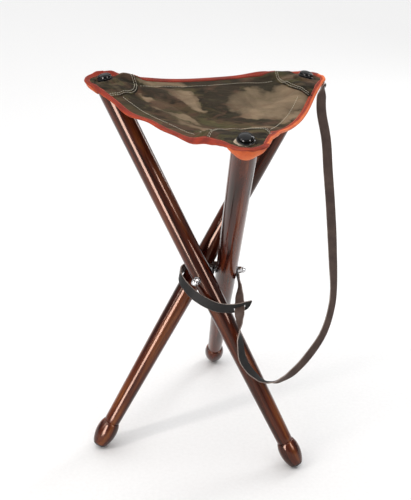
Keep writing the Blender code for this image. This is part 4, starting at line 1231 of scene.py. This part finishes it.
def make_corner_washer(side):
    """Leather disc under the cup, cut by hand. The front one is raw leather and sticks out on one side."""
    z, hole = SEAT_STACK, 0.0032
    profile = [(hole, z - 0.0006), (0.0110, z - 0.0004), (0.0131, z - 0.0005), (0.0138, z - 0.0012)]
    profile += [(0.0137, z - 0.0020), (hole, z - 0.0020), (hole, z - 0.0006)]
    place = end_frame(side)
    disc = lathe(f"leather_washer_{side}", profile, CREAM if side == "front" else BLACK, place, 64)
    for v in disc.data.vertices:
        flat = v.co.to_2d()
        if flat.length > 0.009:
            turn = math.atan2(flat.y, flat.x)
            world = place.to_3x3() @ Vector((flat.x, flat.y, 0.0))
            off = math.atan2(world.y, world.x) - LOBE_TOWARDS
            off = (off + math.pi) % math.tau - math.pi
            lobe = 0.40 * math.exp(-((off / 0.55) ** 2)) if side == "front" else 0.0
            v.co.xy = flat * (0.82 + lobe + 0.02 * math.sin(turn * 3 + 1.0) + 0.02 * math.sin(turn * 7))
    dress(disc, "orange_leather", f"{side}_leg")


def make_screw_cup(side):
    z = SEAT_STACK
    profile = [(SCREW_R, z + 0.0018), (CAP_R, z + 0.0018), (0.0113, z + 0.0015), (0.01175, z + 0.0009)]
    profile += [(0.01165, z + 0.0004), (0.0112, z + 0.0001), (SCREW_R, z + 0.0001), (SCREW_R, z + 0.0018)]
    cup = lathe(f"cup_washer_{side}", profile, BLACK, end_frame(side), 56)
    crisp(cup)
    dress(cup, "black_plastic", f"{side}_leg", f"screw_cup_{side}")


def make_screw_cap(side):
    base = SEAT_STACK + 0.0019
    profile = [(0.0, base + 0.0010 + CAP_RISE)]
    for turn in (math.radians(9.0 * k) for k in range(1, 11)):
        profile.append((CAP_R * math.sin(turn), base + 0.0010 + CAP_RISE * math.cos(turn) ** 0.85))
    profile += [(0.0106, base + 0.0005), (0.0104, base), (0.0092, base), (0.0, base + 0.0002)]
    cap = lathe(f"domed_cap_{side}", profile, BLACK, end_frame(side), 56)
    crisp(cap, 50.0)
    dress(cap, "black_plastic", f"{side}_leg", f"screw_cap_{side}")


# ---------------------------------------------------------------- everything

make_camera()
make_strap()
make_rivet()
make_stage()
make_lights()
for number, corner in enumerate(SIDES):
    make_leg(corner)
    make_foot_pad(corner)
    make_washer(f"inner_ring_{corner}", corner, -LEG_R_HUB - WASHER_THICK - GAP, f"inner_washer_{corner}")
    make_washer(f"outer_ring_{corner}", corner, LEG_R_HUB + GAP, f"outer_washer_{corner}")
    make_cap_nut(corner)
    make_canvas(number)
    make_patch(number)
    make_hem(number)
    make_binding(number)
    make_pocket(corner)
    make_corner_washer(corner)
    make_screw_cup(corner)
    make_screw_cap(corner)
for name in ("hub_stud", "seat_screw_front", "seat_screw_right", "seat_screw_left"):
    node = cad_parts[name]
    for entry in node.material_slots:
        entry.material = STEEL
